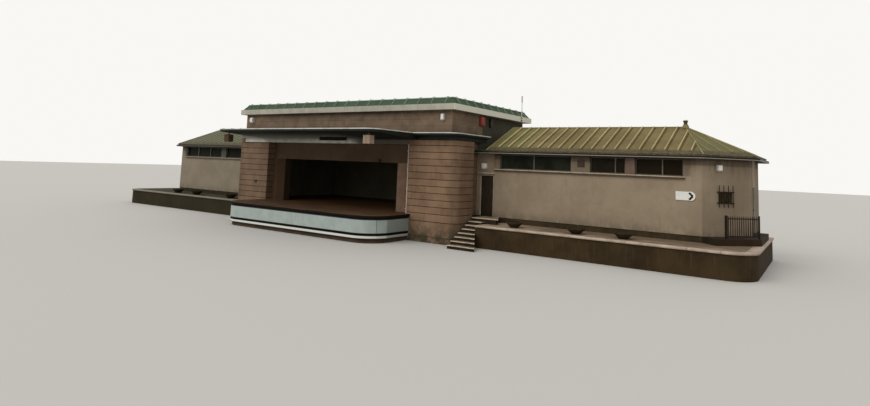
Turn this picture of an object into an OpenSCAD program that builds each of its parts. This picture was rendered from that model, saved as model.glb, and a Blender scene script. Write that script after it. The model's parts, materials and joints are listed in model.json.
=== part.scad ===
// Park bandstand: a stone-faced stage block under a low copper roof, with a thin
// cantilevered canopy, a curved stage apron and two hip-roofed wings on raised terraces.
// Every size below is the real building's, in millimetres. The whole model is drawn at
// model_scale of that. The front faces -Y, the ground is Z = 0, and X = 0 is the axis.

/* [Scale] */
// Model size as a share of the real building
model_scale = 0.5; // [0.05:0.05:1]

/* [Main block] */
// Width over the stone side faces
block_w = 15700; // [12000:100:20000]
// Front face of the attic wall, behind the pier faces
attic_set = 150; // [50:10:400]
// Back face of the block
block_back = 8300; // [6000:100:12000]
// How far the stone side return runs on behind the link wall's face
return_past = 420; // [200:10:1200]
// How far the rendered side walls stand in from the stone
render_set = 150; // [50:10:300]
// Thickness of the outer walls
wall_t = 350; // [250:10:500]
// Top of the block's walls
block_top = 6495; // [5800:5:7500]
// Height of the roof fascia
fascia_h = 300; // [150:10:500]
// Overhang of the fascia past the walls
fascia_over = 290; // [100:10:600]

/* [Main roof] */
// Inset of the copper roof's foot from the fascia edge
roof_inset = 80; // [20:10:300]
// Height of the steep copper skirt
skirt_h = 330; // [150:10:600]
// How far the skirt leans in
skirt_lean = 250; // [100:10:500]
// Further rise from the skirt to the ridge
roof_rise = 190; // [50:10:600]
// Thickness of the roof shell
roof_t = 150; // [80:10:300]

/* [Stage] */
// Stage floor, door sills and wing plinth tops above the ground
floor_z = 1290; // [900:10:1800]
// Thickness of the floors
deck_t = 120; // [60:10:250]
// Apron depth in front of the piers
apron_d = 2900; // [1500:50:4500]
// How far the apron runs past the opening's edges
apron_past = 210; // [0:10:600]
// Radius of the apron's corners
apron_r = 1300; // [300:50:2500]
// Bottom of the white apron panel
panel_z = 430; // [300:10:700]
// Bottom of the white rail under the panel
rail_z = 210; // [100:10:400]
// Height of that rail
rail_h = 150; // [60:10:300]
// Projection of the panel and rail from the dark stage base
panel_t = 120; // [50:10:250]
// Thickness of the stage base walls
base_t = 230; // [150:10:400]

/* [Piers and opening] */
// Projection of each pier past the block's side face
pier_over = 450; // [100:10:700]
// Width of each pier
pier_w = 2910; // [2000:10:4000]
// Depth of each pier's side face
pier_d = 1550; // [900:10:2500]
// Radius of the outer corner of each pier
pier_r = 450; // [100:10:700]
// Projection of the pier's foot course
foot_out = 40; // [10:5:100]
// How far that foot course ends below the stage floor
foot_below = 290; // [200:10:700]
// Set-back of the inner jamb walls from the pier faces
jamb_set = 482; // [300:2:800]
// Width of each inner jamb wall in front of the hall
jamb_w = 1057; // [500:1:1500]
// Thickness of the jamb and lintel walls
jamb_t = 450; // [300:10:600]
// Underside of the stage opening's lintel
lintel_z = 3800; // [3000:10:4500]
// Underside of the pale beam over the opening
beam_z = 4770; // [4300:10:5200]
// Top of the piers and of the beam
pier_top = 5000; // [4600:10:5800]

/* [Canopy] */
// How far the deep front part of the canopy runs past the opening's edges
canopy_past = 535; // [200:5:1200]
// Projection of that part from the pier faces
canopy_d = 3445; // [1500:5:5000]
// Top of the canopy
canopy_top = 5354; // [5000:2:6000]
// Thickness of the canopy's free edge
canopy_edge_t = 130; // [60:5:250]
// Radius of the canopy's front corners
canopy_r = 600; // [200:20:1500]
// Projection of the shallow part over the piers
strip_d = 460; // [200:10:900]
// Projection of the shallow part past the pier sides
strip_side = 150; // [50:10:500]
// Where the shallow part ends on the side walls
strip_end = 3030; // [2000:10:4500]
// Height of the bright metal edging
edging_h = 60; // [40:5:150]
// Projection of that edging
edging_t = 30; // [15:5:60]

/* [Wings] */
// Front face of the wing walls
wing_front = 2555; // [1500:5:4000]
// How far a wing's back face stands in from the block's
wing_step = 350; // [350:10:1500]
// Length of a wing
wing_len = 11270; // [8000:10:16000]
// Width of the link between the block and a wing
link_w = 1100; // [1050:10:2000]
// How far the wing roof's verge runs on over the link
verge_over = 350; // [100:10:500]
// Thickness of the wing walls
wing_t = 300; // [200:10:400]
// Underside of the eaves and top of the walls
eaves_z = 4505; // [3800:5:5500]
// Overhang of the eaves
eaves_out = 320; // [150:10:600]
// Height of the eaves edge
eaves_h = 130; // [60:10:250]
// Top of the ridge
ridge_z = 5980; // [5200:10:7500]
// Vertical thickness of the roof covering
cover_t = 110; // [60:10:200]
// How far the plinth stands back from the render
plinth_in = 25; // [10:5:60]
// Radius of the ridge cowl
cowl_r = 110; // [50:10:250]
// Height of the ridge cowl above the ridge
cowl_h = 370; // [150:10:600]

/* [Windows] */
// Bottom of the window band
window_z = 3700; // [3200:10:4100]
// Top of the window band
window_top = 4430; // [4200:10:4480]
// Spans of the three windows along a wing, from its inner end
window_at = [[310, 4050], [4960, 6560], [6990, 8970]];
// Spans of the two longer windows along the left wing, from its inner end
left_window_at = [[310, 4200], [4740, 9030]];
// Thickness of the glass sheets
glass_t = 24; // [10:2:50]
// Set-back of the glass from the wall face
glass_set = 130; // [60:10:200]
// Height of the projecting sill
sill_h = 115; // [60:5:200]
// Projection of the sill
sill_out = 75; // [40:5:150]

/* [Link and doors] */
// Set-back of the link wall from the wing wall
link_set = 145; // [50:5:400]
// Distance of the link doorway from the block's side
door_in = 210; // [160:5:400]
// Width of the link doorway
door_w = 800; // [700:10:850]
// Height of both doorways
door_h = 2090; // [1900:10:2300]
// Distance of the end doorway's near edge from the wing's back
end_door_in = 2550; // [1500:10:3400]
// Width of the end doorway
end_door_w = 1000; // [800:10:1200]
// Thickness of a door leaf
leaf_t = 50; // [35:5:80]
// Set-back of a leaf from its wall face
leaf_set = 100; // [40:10:160]
// Clearance round a door leaf
leaf_gap = 16; // [12:1:30]
// Radius of a door's knob
knob_r = 32; // [15:1:45]
// Radius of the hinge barrels at the back edge of a leaf
barrel_r = 6; // [4:0.5:6]

/* [Terraces and steps] */
// How far the terrace floor lies below the door sills
terrace_below = 260; // [200:10:500]
// Front face of the terrace wall
terrace_front = 300; // [0:10:600]
// How far the right terrace runs past its wing's end
terrace_out = 530; // [200:10:2000]
// How far the left terrace runs past its wing's end
left_terrace_out = 1700; // [200:10:2500]
// Radius of the terrace's outer front corner
terrace_r = 1000; // [400:50:2000]
// Thickness of the terrace wall
terrace_t = 350; // [200:10:500]
// Height of the coping
coping_h = 85; // [40:5:150]
// Projection of the coping
coping_out = 60; // [20:5:120]
// Number of risers from the ground to the stage floor
risers = 8; // [5:1:10]
// Number of the lowest steps that run on in front of the terrace
long_steps = 4; // [1:1:4]
// How much further each of them runs on than the one above it
step_flare = 182; // [60:2:250]
// Going of each step
going = 315; // [240:5:350]
// Gap between the pier's foot and the flight
flight_gap = 160; // [50:10:400]
// Width of the flight
flight_w = 720; // [700:10:1500]
// Face of the top riser behind the pier fronts
last_nose = 1255; // [900:5:1500]
// How far the landing at the link door runs on over the terrace at its front edge
landing_past = 610; // [100:10:800]
// How far it runs on at the wing's wall, where its splayed end meets the plinth
landing_back = 40; // [20:10:800]
// Depth of the raised landing round the outer corner
landing_d = 850; // [500:10:1200]
// Projection of that landing from the end wall
landing_out = 480; // [300:10:900]

/* [Railing and small pieces] */
// Height of the railing above its landing
railing_h = 900; // [700:10:1200]
// Spacing of the railing's bars
bar_pitch = 100; // [70:5:140]
// Width of a railing bar
bar_w = 22; // [14:2:40]
// Radius of a planter bowl
bowl_r = 380; // [200:10:600]
// Height of a planter bowl
bowl_h = 260; // [120:10:400]
// Places of the bowls along the right terrace, from the wing's inner end
bowl_at = [1930, 4890, 6940];
// Places of the bowls along the left terrace
left_bowl_at = [1250, 5100, 7400];
// Distance of the bowls behind the terrace wall's face
bowl_in = 760; // [500:10:1200]
// Radius of a downpipe
pipe_r = 42; // [25:1:70]
// Projection of the plain sign panel
sign_t = 30; // [10:5:60]
// Place of that panel along the wing
sign_at = 8690; // [7000:10:8700]
// Distance of the lintel lamp from the opening's right edge
lamp_in = 1283; // [300:1:4000]
// Distance of the hanging boxes from the canopy's sides and front edge
hang_in = [675, 445];
// Radius of the slender mast on the right fascia
mast_r = 22; // [12:1:50]
// Distance of that mast from the block's back
mast_in = 1100; // [500:50:4000]
// Top of that mast
mast_top = 8020; // [7400:10:8400]

/* [Hidden] */
$fn = 48;
eps = 1;
seat = 0.4;
half_w = block_w / 2;
rear_w = half_w - render_set;
rear_in = rear_w - wall_t;
pier_x = half_w + pier_over;
gap_x = pier_x - pier_w;
pier_gap = 2 * gap_x;
foot_h = floor_z - foot_below;
opening_x = gap_x - jamb_w;
jamb_back = jamb_set + jamb_t;
jamb_out = gap_x + 300;
deck_z = floor_z - deck_t;
base_w = gap_x + apron_past;
inner_back = block_back - wall_t;
roof_foot = block_top + fascia_h;
yc = (attic_set + block_back) / 2;
fascia_x = half_w + fascia_over;
fascia_y = (block_back - attic_set) / 2 + fascia_over;
canopy_x = gap_x + canopy_past;
strip_x = pier_x + strip_side;
// Wing: the apex of the half-octagon end stands one half depth in from the end wall
wing_start = half_w + link_w;
wing_end = wing_start + wing_len;
wing_back = block_back - wing_step;
wing_d = wing_back - wing_front;
wr = wing_d / 2;
wy = wing_front + wr;
wx = wing_end - wr;
verge_x = wing_start - verge_over;
window_spans = [for (w = window_at) [wing_start + w[0], wing_start + w[1]]];
left_spans = [for (w = left_window_at) [wing_start + w[0], wing_start + w[1]]];
t22 = tan(22.5);
eaves_r = wr + eaves_out;
slope = (ridge_z - eaves_z - eaves_h) / eaves_r;
in_r = wr - wing_t;
link_y = wing_front + link_set;
return_end = link_y + return_past;
door_x = half_w + door_in;
end_door_y = wing_back - end_door_in;
door_top = floor_z + door_h;
rise = floor_z / risers;
terrace_z = floor_z - terrace_below;
flight_x = pier_x + foot_out + flight_gap;
terrace_start = flight_x + flight_w;
terrace_end = wing_end + terrace_out;
left_end = wing_end + left_terrace_out;
landing_x = wing_end + landing_out;
first_nose = last_nose - going * (risers - 1);
door_end = link_y + plinth_in;

// Helpers

// The same piece on both sides of the axis
module both() {
    children();
    mirror([1, 0, 0]) children();
}

// A box from its two corners
module span(a, b) {
    translate(a) cube(b - a);
}

// A vertical prism over a flat shape
module prism(z0, z1) {
    translate([0, 0, z0]) linear_extrude(height = z1 - z0) children();
}

// A rectangle whose two front corners, or only its outer one, are round
module round_front(x0, x1, y0, y1, r, both_ends = true) {
    union() {
        translate([x0, y0 + r]) square([x1 - x0, y1 - y0 - r]);
        translate([both_ends ? x0 + r : x0, y0])
            square([x1 - x0 - (both_ends ? 2 : 1) * r, r + eps]);
        translate([x1 - r, y0 + r]) circle(r = r, $fn = 96);
        if (both_ends)
            translate([x0 + r, y0 + r]) circle(r = r, $fn = 96);
    }
}

// Stage

// Outline of the apron, moved out by o and closed at y1
module apron_plan(o, y1) {
    round_front(-base_w - o, base_w + o, -apron_d - o, y1, apron_r + o);
}

// Dark walls under the apron, closed at the back by a wall across the opening
module stage_base() {
    color("dimgray") prism(0, deck_z) union() {
        difference() {
            apron_plan(-panel_t, -foot_out);
            apron_plan(-panel_t - base_t, 0);
        }
        translate([-gap_x, -base_t]) square([pier_gap, 2 * base_t]);
    }
}

// One white band round the apron
module apron_band(z, h) {
    prism(z, z + h) difference() {
        apron_plan(0, -foot_out);
        apron_plan(-panel_t, 0);
    }
}

module apron_panels() {
    color("whitesmoke") {
        apron_band(rail_z, rail_h);
        apron_band(panel_z, deck_z - 40 - panel_z);
    }
}

// Floor from the apron's nosing back through the opening to the back wall
module stage_deck() {
    stone_in = half_w - wall_t;
    half = [[base_w + 30, -foot_out - eps], [base_w + 30, 0], [gap_x, 0],
            [gap_x, jamb_set], [opening_x, jamb_set], [opening_x, jamb_back],
            [jamb_out, jamb_back], [jamb_out, jamb_set], [stone_in, jamb_set],
            [stone_in, return_end - wall_t], [rear_in, return_end - wall_t],
            [rear_in, inner_back]];
    last = len(half) - 1;
    color("sienna") prism(deck_z, floor_z) union() {
        apron_plan(30, -foot_out);
        polygon(concat(half, [for (k = [last : -1 : 0]) [-half[k][0], half[k][1]]]));
    }
}

// Main block

// Pier plan: a front slab and a side slab round the hall's corner
module pier_plan(o) {
    difference() {
        round_front(gap_x, pier_x + o, -o, pier_d, pier_r + o, false);
        translate([gap_x - eps, jamb_set])
            square([half_w - gap_x + eps, pier_d - jamb_set + eps]);
    }
}

module piers() {
    color("rosybrown") both() union() {
        prism(0, pier_top) pier_plan(0);
        prism(0, foot_h) pier_plan(foot_out);
    }
}

module jamb_walls() {
    color("tan") both()
        span([opening_x, jamb_set, 0], [jamb_out, jamb_back, lintel_z]);
}

module lintel_wall() {
    color("gray")
        span([-jamb_out, jamb_set, lintel_z], [jamb_out, jamb_back, pier_top]);
}

module lintel_beam() {
    color("silver")
        span([-gap_x, -20, beam_z], [gap_x, jamb_set, pier_top]);
}

module attic_wall() {
    color("tan")
        span([-half_w, attic_set, canopy_top], [half_w, jamb_set, block_top]);
}

// Stone return beside the pier, then the rendered wall standing a little further in
module side_wall() {
    union() {
        span([half_w - wall_t, jamb_set, 0], [half_w, return_end, block_top]);
        span([rear_in, return_end - wall_t, 0], [rear_w, inner_back, block_top]);
    }
}

module right_side_wall() {
    color("tan") side_wall();
}

module left_side_wall() {
    color("tan") mirror([1, 0, 0]) side_wall();
}

module block_back_wall() {
    color("gray") span([-rear_w, inner_back, 0], [rear_w, block_back, block_top]);
}

module roof_fascia() {
    color("beige") difference() {
        span([-fascia_x, yc - fascia_y, block_top], [fascia_x, yc + fascia_y, roof_foot]);
        span([-rear_in, jamb_set, block_top - eps], [rear_in, inner_back, roof_foot + eps]);
    }
}

// Profile of the main roof across a half span a, pulled in by t for the inside
module roof_profile(a, t) {
    polygon([[-a + t, -t], [a - t, -t], [a - t, 0], [a - skirt_lean - t, skirt_h - t],
             [0, skirt_h + roof_rise - t], [-a + skirt_lean + t, skirt_h - t],
             [-a + t, 0]]);
}

// The roof's hips come from crossing the same profile along and across the block
module roof_form(t) {
    ax = fascia_x - roof_inset;
    ay = fascia_y - roof_inset;
    intersection() {
        rotate([90, 0, 0]) translate([0, 0, -ay])
            linear_extrude(height = 2 * ay) roof_profile(ax, t);
        rotate([90, 0, 90]) translate([0, 0, -ax])
            linear_extrude(height = 2 * ax) roof_profile(ay, t);
    }
}

module main_roof() {
    color("darkseagreen") translate([0, yc, roof_foot]) difference() {
        roof_form(0);
        roof_form(roof_t);
    }
}

// Canopy

// Plan of the canopy, moved in by o: a deep front part, and a strip over the piers
module canopy_plan(o) {
    union() {
        round_front(-canopy_x + o, canopy_x - o, -canopy_d + o, jamb_back,
                    canopy_r - o);
        round_front(-strip_x + o, strip_x - o, -strip_d + o, strip_end - o, canopy_r - o);
    }
}

// The hall behind the canopy, which its slab stops against
module hall_plan() {
    translate([-half_w, jamb_set]) square([2 * half_w, block_back]);
}

// Slab whose soffit falls from the thin free edge to the pier tops
module canopy() {
    root = canopy_top - pier_top;
    color("dimgray") intersection() {
        prism(pier_top, canopy_top) difference() {
            canopy_plan(edging_t);
            hall_plan();
        }
        union() {
            rotate([90, 0, 90]) translate([0, 0, -canopy_x])
                linear_extrude(height = 2 * canopy_x)
                    polygon([[-canopy_d, canopy_top - canopy_edge_t], [0, pier_top],
                             [jamb_back, pier_top], [jamb_back, canopy_top],
                             [-canopy_d, canopy_top]]);
            prism(canopy_top - root, canopy_top)
                round_front(-pier_x, pier_x, -foot_out, strip_end - strip_side, pier_r);
            prism(canopy_top - canopy_edge_t, canopy_top) canopy_plan(edging_t);
        }
    }
}

module canopy_edging() {
    color("white") prism(canopy_top - edging_h, canopy_top) difference() {
        canopy_plan(0);
        canopy_plan(edging_t);
        hall_plan();
    }
}

// Wings

// Wing outline moved out by o, from x0; its outer front corner is canted
module wing_plan(o, x0) {
    r = wr + o;
    polygon([[x0, wy - r], [wx + r * t22, wy - r], [wx + r, wy - r * t22],
             [wx + r, wy + r], [x0, wy + r]]);
}

// Plinths run from the block to the wing's end and carry the walls
module wing_plinths() {
    color("dimgray") both() prism(0, floor_z) difference() {
        union() {
            wing_plan(-plinth_in, wing_start);
            translate([rear_w, link_y + plinth_in])
                square([wing_start - rear_w + eps, wing_d - link_set - 2 * plinth_in]);
        }
        wing_plan(-wing_t, wing_start - eps);
        translate([rear_w - eps, link_y + wing_t])
            square([wing_start - rear_w, wing_back - wing_t - link_y - wing_t]);
        translate([rear_w - eps, 0]) square([render_set + eps, return_end]);
    }
}

module wing_floors() {
    color("gray") both() prism(deck_z, floor_z) union() {
        wing_plan(-wing_t, wing_start - eps);
        difference() {
            translate([rear_w, link_y + wing_t])
                square([wing_start - rear_w, wing_back - wing_t - link_y - wing_t]);
            translate([rear_w - eps, 0]) square([render_set + eps, return_end]);
        }
    }
}

// Window band cut through a wall that begins at y0
module window_cuts(spans, y0) {
    for (w = spans)
        span([w[0], y0 - eps, window_z], [w[1], y0 + wing_t + eps, window_top]);
}

// Front wall, mitred to the canted wall at its outer end
module front_wall(spans) {
    difference() {
        prism(floor_z, eaves_z)
            polygon([[wing_start, wing_front], [wx + wr * t22, wing_front],
                     [wx + in_r * t22, wing_front + wing_t],
                     [wing_start, wing_front + wing_t]]);
        window_cuts(spans, wing_front);
    }
}

module left_front_wall() {
    color("lightgray") mirror([1, 0, 0]) front_wall(left_spans);
}

module right_front_wall() {
    color("lightgray") front_wall(window_spans);
}

// Canted wall and end wall, as far back as y1
module cant_plan(y1) {
    polygon([[wx + wr * t22, wing_front], [wing_end, wy - wr * t22], [wing_end, y1],
             [wing_end - wing_t, y1], [wing_end - wing_t, wy - in_r * t22],
             [wx + in_r * t22, wing_front + wing_t]]);
}

// Back wall with the end wall's rest from y0 on
module rear_plan(y0) {
    union() {
        translate([wing_end - wing_t, y0]) square([wing_t, wing_back - y0]);
        translate([rear_w, wing_back - wing_t])
            square([wing_end - rear_w, wing_t]);
    }
}

module left_rear_walls() {
    color("lightgray") mirror([1, 0, 0]) difference() {
        prism(floor_z, eaves_z) union() {
            cant_plan(wy);
            rear_plan(wy - eps);
        }
        window_cuts(left_spans, wing_back - wing_t);
    }
}

module right_cant_wall() {
    color("lightgray") prism(floor_z, eaves_z) cant_plan(end_door_y);
}

module right_rear_walls() {
    color("lightgray") difference() {
        prism(floor_z, eaves_z) rear_plan(end_door_y + end_door_w);
        window_cuts(window_spans, wing_back - wing_t);
    }
}

// Gable over the link roof, carried across the open room as a deep beam
module gable_walls() {
    low = eaves_z - 250;
    foot = ridge_z - cover_t - slope * in_r;
    color("lightgray") both() translate([wing_start, wy, 0])
        rotate([90, 0, 90]) linear_extrude(height = wing_t)
            polygon([[-in_r, low], [in_r, low], [in_r, foot],
                     [0, ridge_z - cover_t], [-in_r, foot]]);
}

// Link wall between the block and the wing, as far up as z1
module link_wall(x0, x1, z0) {
    span([x0, link_y, z0], [x1, link_y + wing_t, eaves_z]);
}

// The left link's door is closed and is part of its wall, one leaf's set-back deep
module left_link_wall() {
    color("lightgray") mirror([1, 0, 0]) difference() {
        link_wall(half_w, wing_start, floor_z);
        span([door_x, link_y - eps, floor_z - eps],
             [door_x + door_w, link_y + leaf_set, door_top]);
    }
}

module right_link_jambs() {
    color("lightgray") {
        link_wall(half_w, door_x, floor_z);
        link_wall(door_x + door_w, wing_start, floor_z);
    }
}

// Wall over the two doorways that open
module door_heads() {
    color("lightgray") {
        link_wall(door_x, door_x + door_w, door_top);
        span([wing_end - wing_t, end_door_y, door_top],
             [wing_end, end_door_y + end_door_w, eaves_z]);
    }
}

module link_roofs() {
    color("darkseagreen") both() prism(eaves_z, eaves_z + eaves_h)
        polygon([[half_w, wing_front - eaves_out], [verge_x, wing_front - eaves_out],
                 [verge_x, wing_back], [rear_w, wing_back], [rear_w, return_end],
                 [half_w, return_end]]);
}

// Cross profile of the wing roof: vertical edge, slope, ridge, for half span r
module hip_profile(r, drop) {
    foot = ridge_z - slope * r - drop;
    polygon([[-r, eaves_z - (drop > 0 ? 10 : 0)], [r, eaves_z - (drop > 0 ? 10 : 0)],
             [r, foot], [0, ridge_z - drop], [-r, foot]]);
}

// One roof plane facing away from the apex at an angle a, closing the wing's end
module hip_end(r, drop, a, reach) {
    foot = ridge_z - slope * r - drop;
    low = eaves_z - (drop > 0 ? 10 : 0);
    translate([wx, wy, 0]) rotate([0, 0, a]) rotate([90, 0, 0])
        translate([0, 0, -reach]) linear_extrude(height = 2 * reach)
            polygon([[-reach, low], [r, low], [r, foot], [0, ridge_z - drop],
                     [-reach, ridge_z - drop]]);
}

// The half-octagon hipped form: a gable prism crossed with an end and a canted plane
module hip_form(r, drop, x0) {
    reach = wing_end;
    intersection() {
        translate([x0, wy, 0]) rotate([90, 0, 90])
            linear_extrude(height = wing_end + wing_d - x0) hip_profile(r, drop);
        hip_end(r, drop, 0, reach);
        hip_end(r, drop, -45, reach);
    }
}

module wing_roof() {
    difference() {
        hip_form(eaves_r, 0, verge_x);
        hip_form(in_r, cover_t, verge_x - 10);
    }
}

module left_wing_roof() {
    color("darkkhaki") mirror([1, 0, 0]) wing_roof();
}

module right_wing_roof() {
    color("darkkhaki") union() {
        wing_roof();
        translate([wx, wy, ridge_z - 30]) {
            cylinder(r = cowl_r * 0.75, h = cowl_h - 70);
            translate([0, 0, cowl_h - 100]) cylinder(r = cowl_r, h = 70);
        }
    }
}

// Box gutter round the eaves, with its channel cut from above
module gutter(out) {
    prism(eaves_z - 55, eaves_z + 55) difference() {
        wing_plan(eaves_out + out, verge_x);
        wing_plan(eaves_out, verge_x - eps);
    }
}

module gutters() {
    color("silver") both() difference() {
        union() {
            gutter(110);
            span([half_w, wing_front - eaves_out - 110, eaves_z - 55],
                 [verge_x, wing_front - eaves_out, eaves_z + 55]);
        }
        prism(eaves_z - 25, eaves_z + 60) difference() {
            wing_plan(eaves_out + 85, verge_x - eps);
            wing_plan(eaves_out + 25, verge_x - 2 * eps);
        }
        span([half_w + 20, wing_front - eaves_out - 85, eaves_z - 25],
             [verge_x + eps, wing_front - eaves_out - 25, eaves_z + 60]);
    }
}

// Glass sheets of one wing's front and back bands
module wing_glass(spans) {
    for (w = spans, back = [0, 1])
        let (y = back == 0 ? wing_front + glass_set : wing_back - glass_set - glass_t)
            span([w[0], y, window_z], [w[1], y + glass_t, window_top]);
}

module glazing() {
    color("darkslategray") {
        wing_glass(window_spans);
        mirror([1, 0, 0]) wing_glass(left_spans);
    }
}

// Sills of one wing's front and back bands
module wing_sills(spans) {
    x0 = spans[0][0] - 300;
    x1 = spans[len(spans) - 1][1] + 80;
    span([x0, wing_front - sill_out, window_z - sill_h], [x1, wing_front, window_z]);
    span([x0, wing_back, window_z - sill_h], [x1, wing_back + sill_out, window_z]);
}

module sills() {
    color("lightgray") {
        wing_sills(window_spans);
        mirror([1, 0, 0]) wing_sills(left_spans);
    }
}

// Doors

// A flush leaf w wide standing on the sill, hinged on the line x = 0, y = 0, with knobs
module leaf(w) {
    kx = w - 90;
    kz = floor_z + 1020;
    union() {
        span([0, -leaf_t, floor_z + leaf_gap], [w, 0, door_top - leaf_gap]);
        for (z = [180, door_h / 2, door_h - 280])
            translate([0, 0, floor_z + z]) cylinder(r = barrel_r, h = 100);
        for (s = [0, 1])
            translate([kx, s == 0 ? -leaf_t : 0, kz])
                rotate([s == 0 ? 90 : -90, 0, 0]) {
                    cylinder(r = knob_r * 0.45, h = 40);
                    translate([0, 0, 25]) cylinder(r = knob_r, h = 30);
                }
    }
}

module link_door() {
    color("dimgray") translate([door_x + leaf_gap, link_y + leaf_set + leaf_t, 0])
        leaf(door_w - 2 * leaf_gap);
}

module end_door() {
    color("dimgray") translate([wing_end - leaf_set - leaf_t, end_door_y + leaf_gap, 0])
        rotate([0, 0, 90]) leaf(end_door_w - 2 * leaf_gap);
}

// Terraces and steps

// Outline of one terrace from x0 to x1, moved out by o
module terrace_plan(o, x0, x1) {
    difference() {
        round_front(x0, x1 + o, terrace_front - o, wing_back + o,
                    terrace_r + o, false);
        wing_plan(-plinth_in, wing_start);
        translate([0, wy]) square([wing_end - plinth_in, wing_d]);
        translate([0, door_end]) square([wing_start + eps, wing_d]);
    }
}

// Retaining wall and floor slab of a terrace
module terrace(x0, x1) {
    slab = 150;
    difference() {
        prism(0, terrace_z) terrace_plan(0, x0, x1);
        prism(-eps, terrace_z - slab) intersection() {
            terrace_plan(-terrace_t, x0, x1);
            translate([x0 + terrace_t, 0]) square([x1, wing_back - terrace_t]);
        }
        prism(terrace_z - coping_h, terrace_z + eps) coping_plan(eps, x0, x1);
    }
}

// Strip along the outer wall, standing o in front of it
module coping_plan(o, x0, x1) {
    difference() {
        terrace_plan(o, x0, x1);
        terrace_plan(-terrace_t, x0, x1);
    }
}

// The right terrace ends at the steps, the left one runs on to its pier
module terraces() {
    color("dimgray") {
        terrace(terrace_start, terrace_end);
        mirror([1, 0, 0]) terrace(pier_x + foot_out, left_end);
    }
}

// Coping on the outer wall, flush with the floor behind it
module copings() {
    color("lightgray") {
        prism(terrace_z - coping_h, terrace_z)
            coping_plan(coping_out, terrace_start, terrace_end);
        mirror([1, 0, 0])
            prism(terrace_z - coping_h, terrace_z)
                coping_plan(coping_out, pier_x + foot_out, left_end);
    }
}

// Step profile: risers and goings from the ground up to the landing, then back to y1
module step_profile(y1) {
    pts = [for (k = [1 : risers], c = [0, 1])
               [first_nose + going * (k - 1), rise * (c == 0 ? k - 1 : k)]];
    polygon(concat(pts, [[y1, floor_z], [y1, 0]]));
}

// Infill between a pier's side face and the link wall
module landing_corner() {
    span([half_w, pier_d, 0], [pier_x + foot_out, door_end, floor_z]);
}

// One of the lowest steps, whose end is splayed back to the terrace's corner
module long_step(k) {
    nose = first_nose + going * (k - 1);
    past = first_nose + going * long_steps - terrace_front;
    prism(0, rise * k)
        polygon([[terrace_start - eps, nose],
                 [terrace_start + step_flare * (long_steps + 1 - k), nose],
                 [terrace_start + step_flare * past / going, terrace_front],
                 [terrace_start - eps, terrace_front]]);
}

// Flight beside the terrace whose lowest steps run on in front of it, each a little
// further than the one above, and the landing at the link door
module right_steps() {
    color("silver") union() {
        translate([flight_x, 0, 0]) rotate([90, 0, 90])
            linear_extrude(height = terrace_start - flight_x)
                step_profile(wing_front + plinth_in);
        for (k = [1 : long_steps]) long_step(k);
        span([flight_x, wing_front, 0], [wing_start, door_end, floor_z]);
        span([pier_x + foot_out - eps, pier_d, 0], [flight_x + eps, door_end, floor_z]);
        landing_corner();
        prism(terrace_z, floor_z)
            polygon([[terrace_start - eps, last_nose],
                     [terrace_start + landing_past, last_nose],
                     [terrace_start + landing_back, wing_front + plinth_in],
                     [terrace_start - eps, wing_front + plinth_in]]);
    }
}

// On the left the terrace itself leads to the link, up one step to the landing
module left_landing() {
    color("silver") mirror([1, 0, 0]) union() {
        landing_corner();
        span([pier_x + foot_out - eps, last_nose, terrace_z],
             [terrace_start, wing_front + plinth_in, floor_z]);
        span([pier_x + foot_out - eps, last_nose, terrace_z],
             [wing_start, door_end, floor_z]);
        span([pier_x + foot_out, last_nose - going, terrace_z],
             [terrace_start, last_nose + eps, (terrace_z + floor_z) / 2]);
    }
}

// Raised landing that follows the right wing's canted corner to the end door
module end_landing() {
    nx = landing_d * sqrt(0.5);
    c1 = [wx + wr * t22, wing_front];
    c2 = [wing_end, wy - wr * t22];
    color("dimgray") prism(terrace_z, floor_z)
        polygon([c1, c1 + [nx, -nx], [landing_x, landing_x - c1[0] + c1[1] - 2 * nx],
                 [landing_x, end_door_y + end_door_w + 300],
                 [wing_end, end_door_y + end_door_w + 300], c2]);
}

// Railing on that landing, beside its outer edge
module railing() {
    inset = 130;
    len = 1500;
    start = 560;
    n = floor(len / bar_pitch);
    color("black") translate([wx + wr * t22, wing_front, floor_z]) rotate([0, 0, 45])
        translate([start, inset - landing_d, 0]) union() {
            translate([0, -bar_w / 2, 80]) cube([len, bar_w, 2 * bar_w]);
            translate([0, -bar_w / 2, railing_h - 120]) cube([len, bar_w, 2 * bar_w]);
            for (k = [1 : n - 1])
                translate([k * bar_pitch - bar_w / 2, -bar_w / 2, 82])
                    cube([bar_w, bar_w, railing_h - 82]);
            translate([-40, -40, 0]) cube([80, 80, railing_h + 20]);
            translate([len - 25, -25, 0]) cube([50, 50, railing_h]);
        }
}

// Small pieces

// A shallow bowl filled with soil to just under its rim
module bowl() {
    wall = 45;
    rotate_extrude($fn = 96)
        polygon([[0, 0], [bowl_r * 0.45, 0], [bowl_r * 0.8, bowl_h * 0.45],
                 [bowl_r, bowl_h - 50], [bowl_r, bowl_h], [bowl_r - wall, bowl_h],
                 [bowl_r - wall, bowl_h - 35], [0, bowl_h - 35]]);
}

module planter_bowls() {
    color("dimgray") {
        for (x = bowl_at)
            translate([wing_start + x, terrace_front + bowl_in, terrace_z]) bowl();
        for (x = left_bowl_at)
            translate([-wing_start - x, terrace_front + bowl_in, terrace_z]) bowl();
    }
}

// Barred grille in front of the canted wall
module window_grille() {
    w = 640;
    h = 500;
    off = 60;
    color("black") translate([wx + wr * t22, wing_front, 2640]) rotate([0, 0, 45])
        translate([760, -off - bar_w - seat, 0]) union() {
            for (z = [0, h - 2 * bar_w])
                translate([-60, 0, z]) cube([w + 120, bar_w, 2 * bar_w]);
            for (k = [0 : 6])
                translate([k * w / 6 - bar_w / 2, 0, k % 2 == 0 ? -160 : 0])
                    cube([bar_w, bar_w, k % 2 == 0 ? h + 420 : h]);
            for (x = [-60, w + 60 - bar_w], z = [0, h - 2 * bar_w])
                translate([x, 0, z]) cube([bar_w, off + bar_w, 2 * bar_w]);
        }
}

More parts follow.
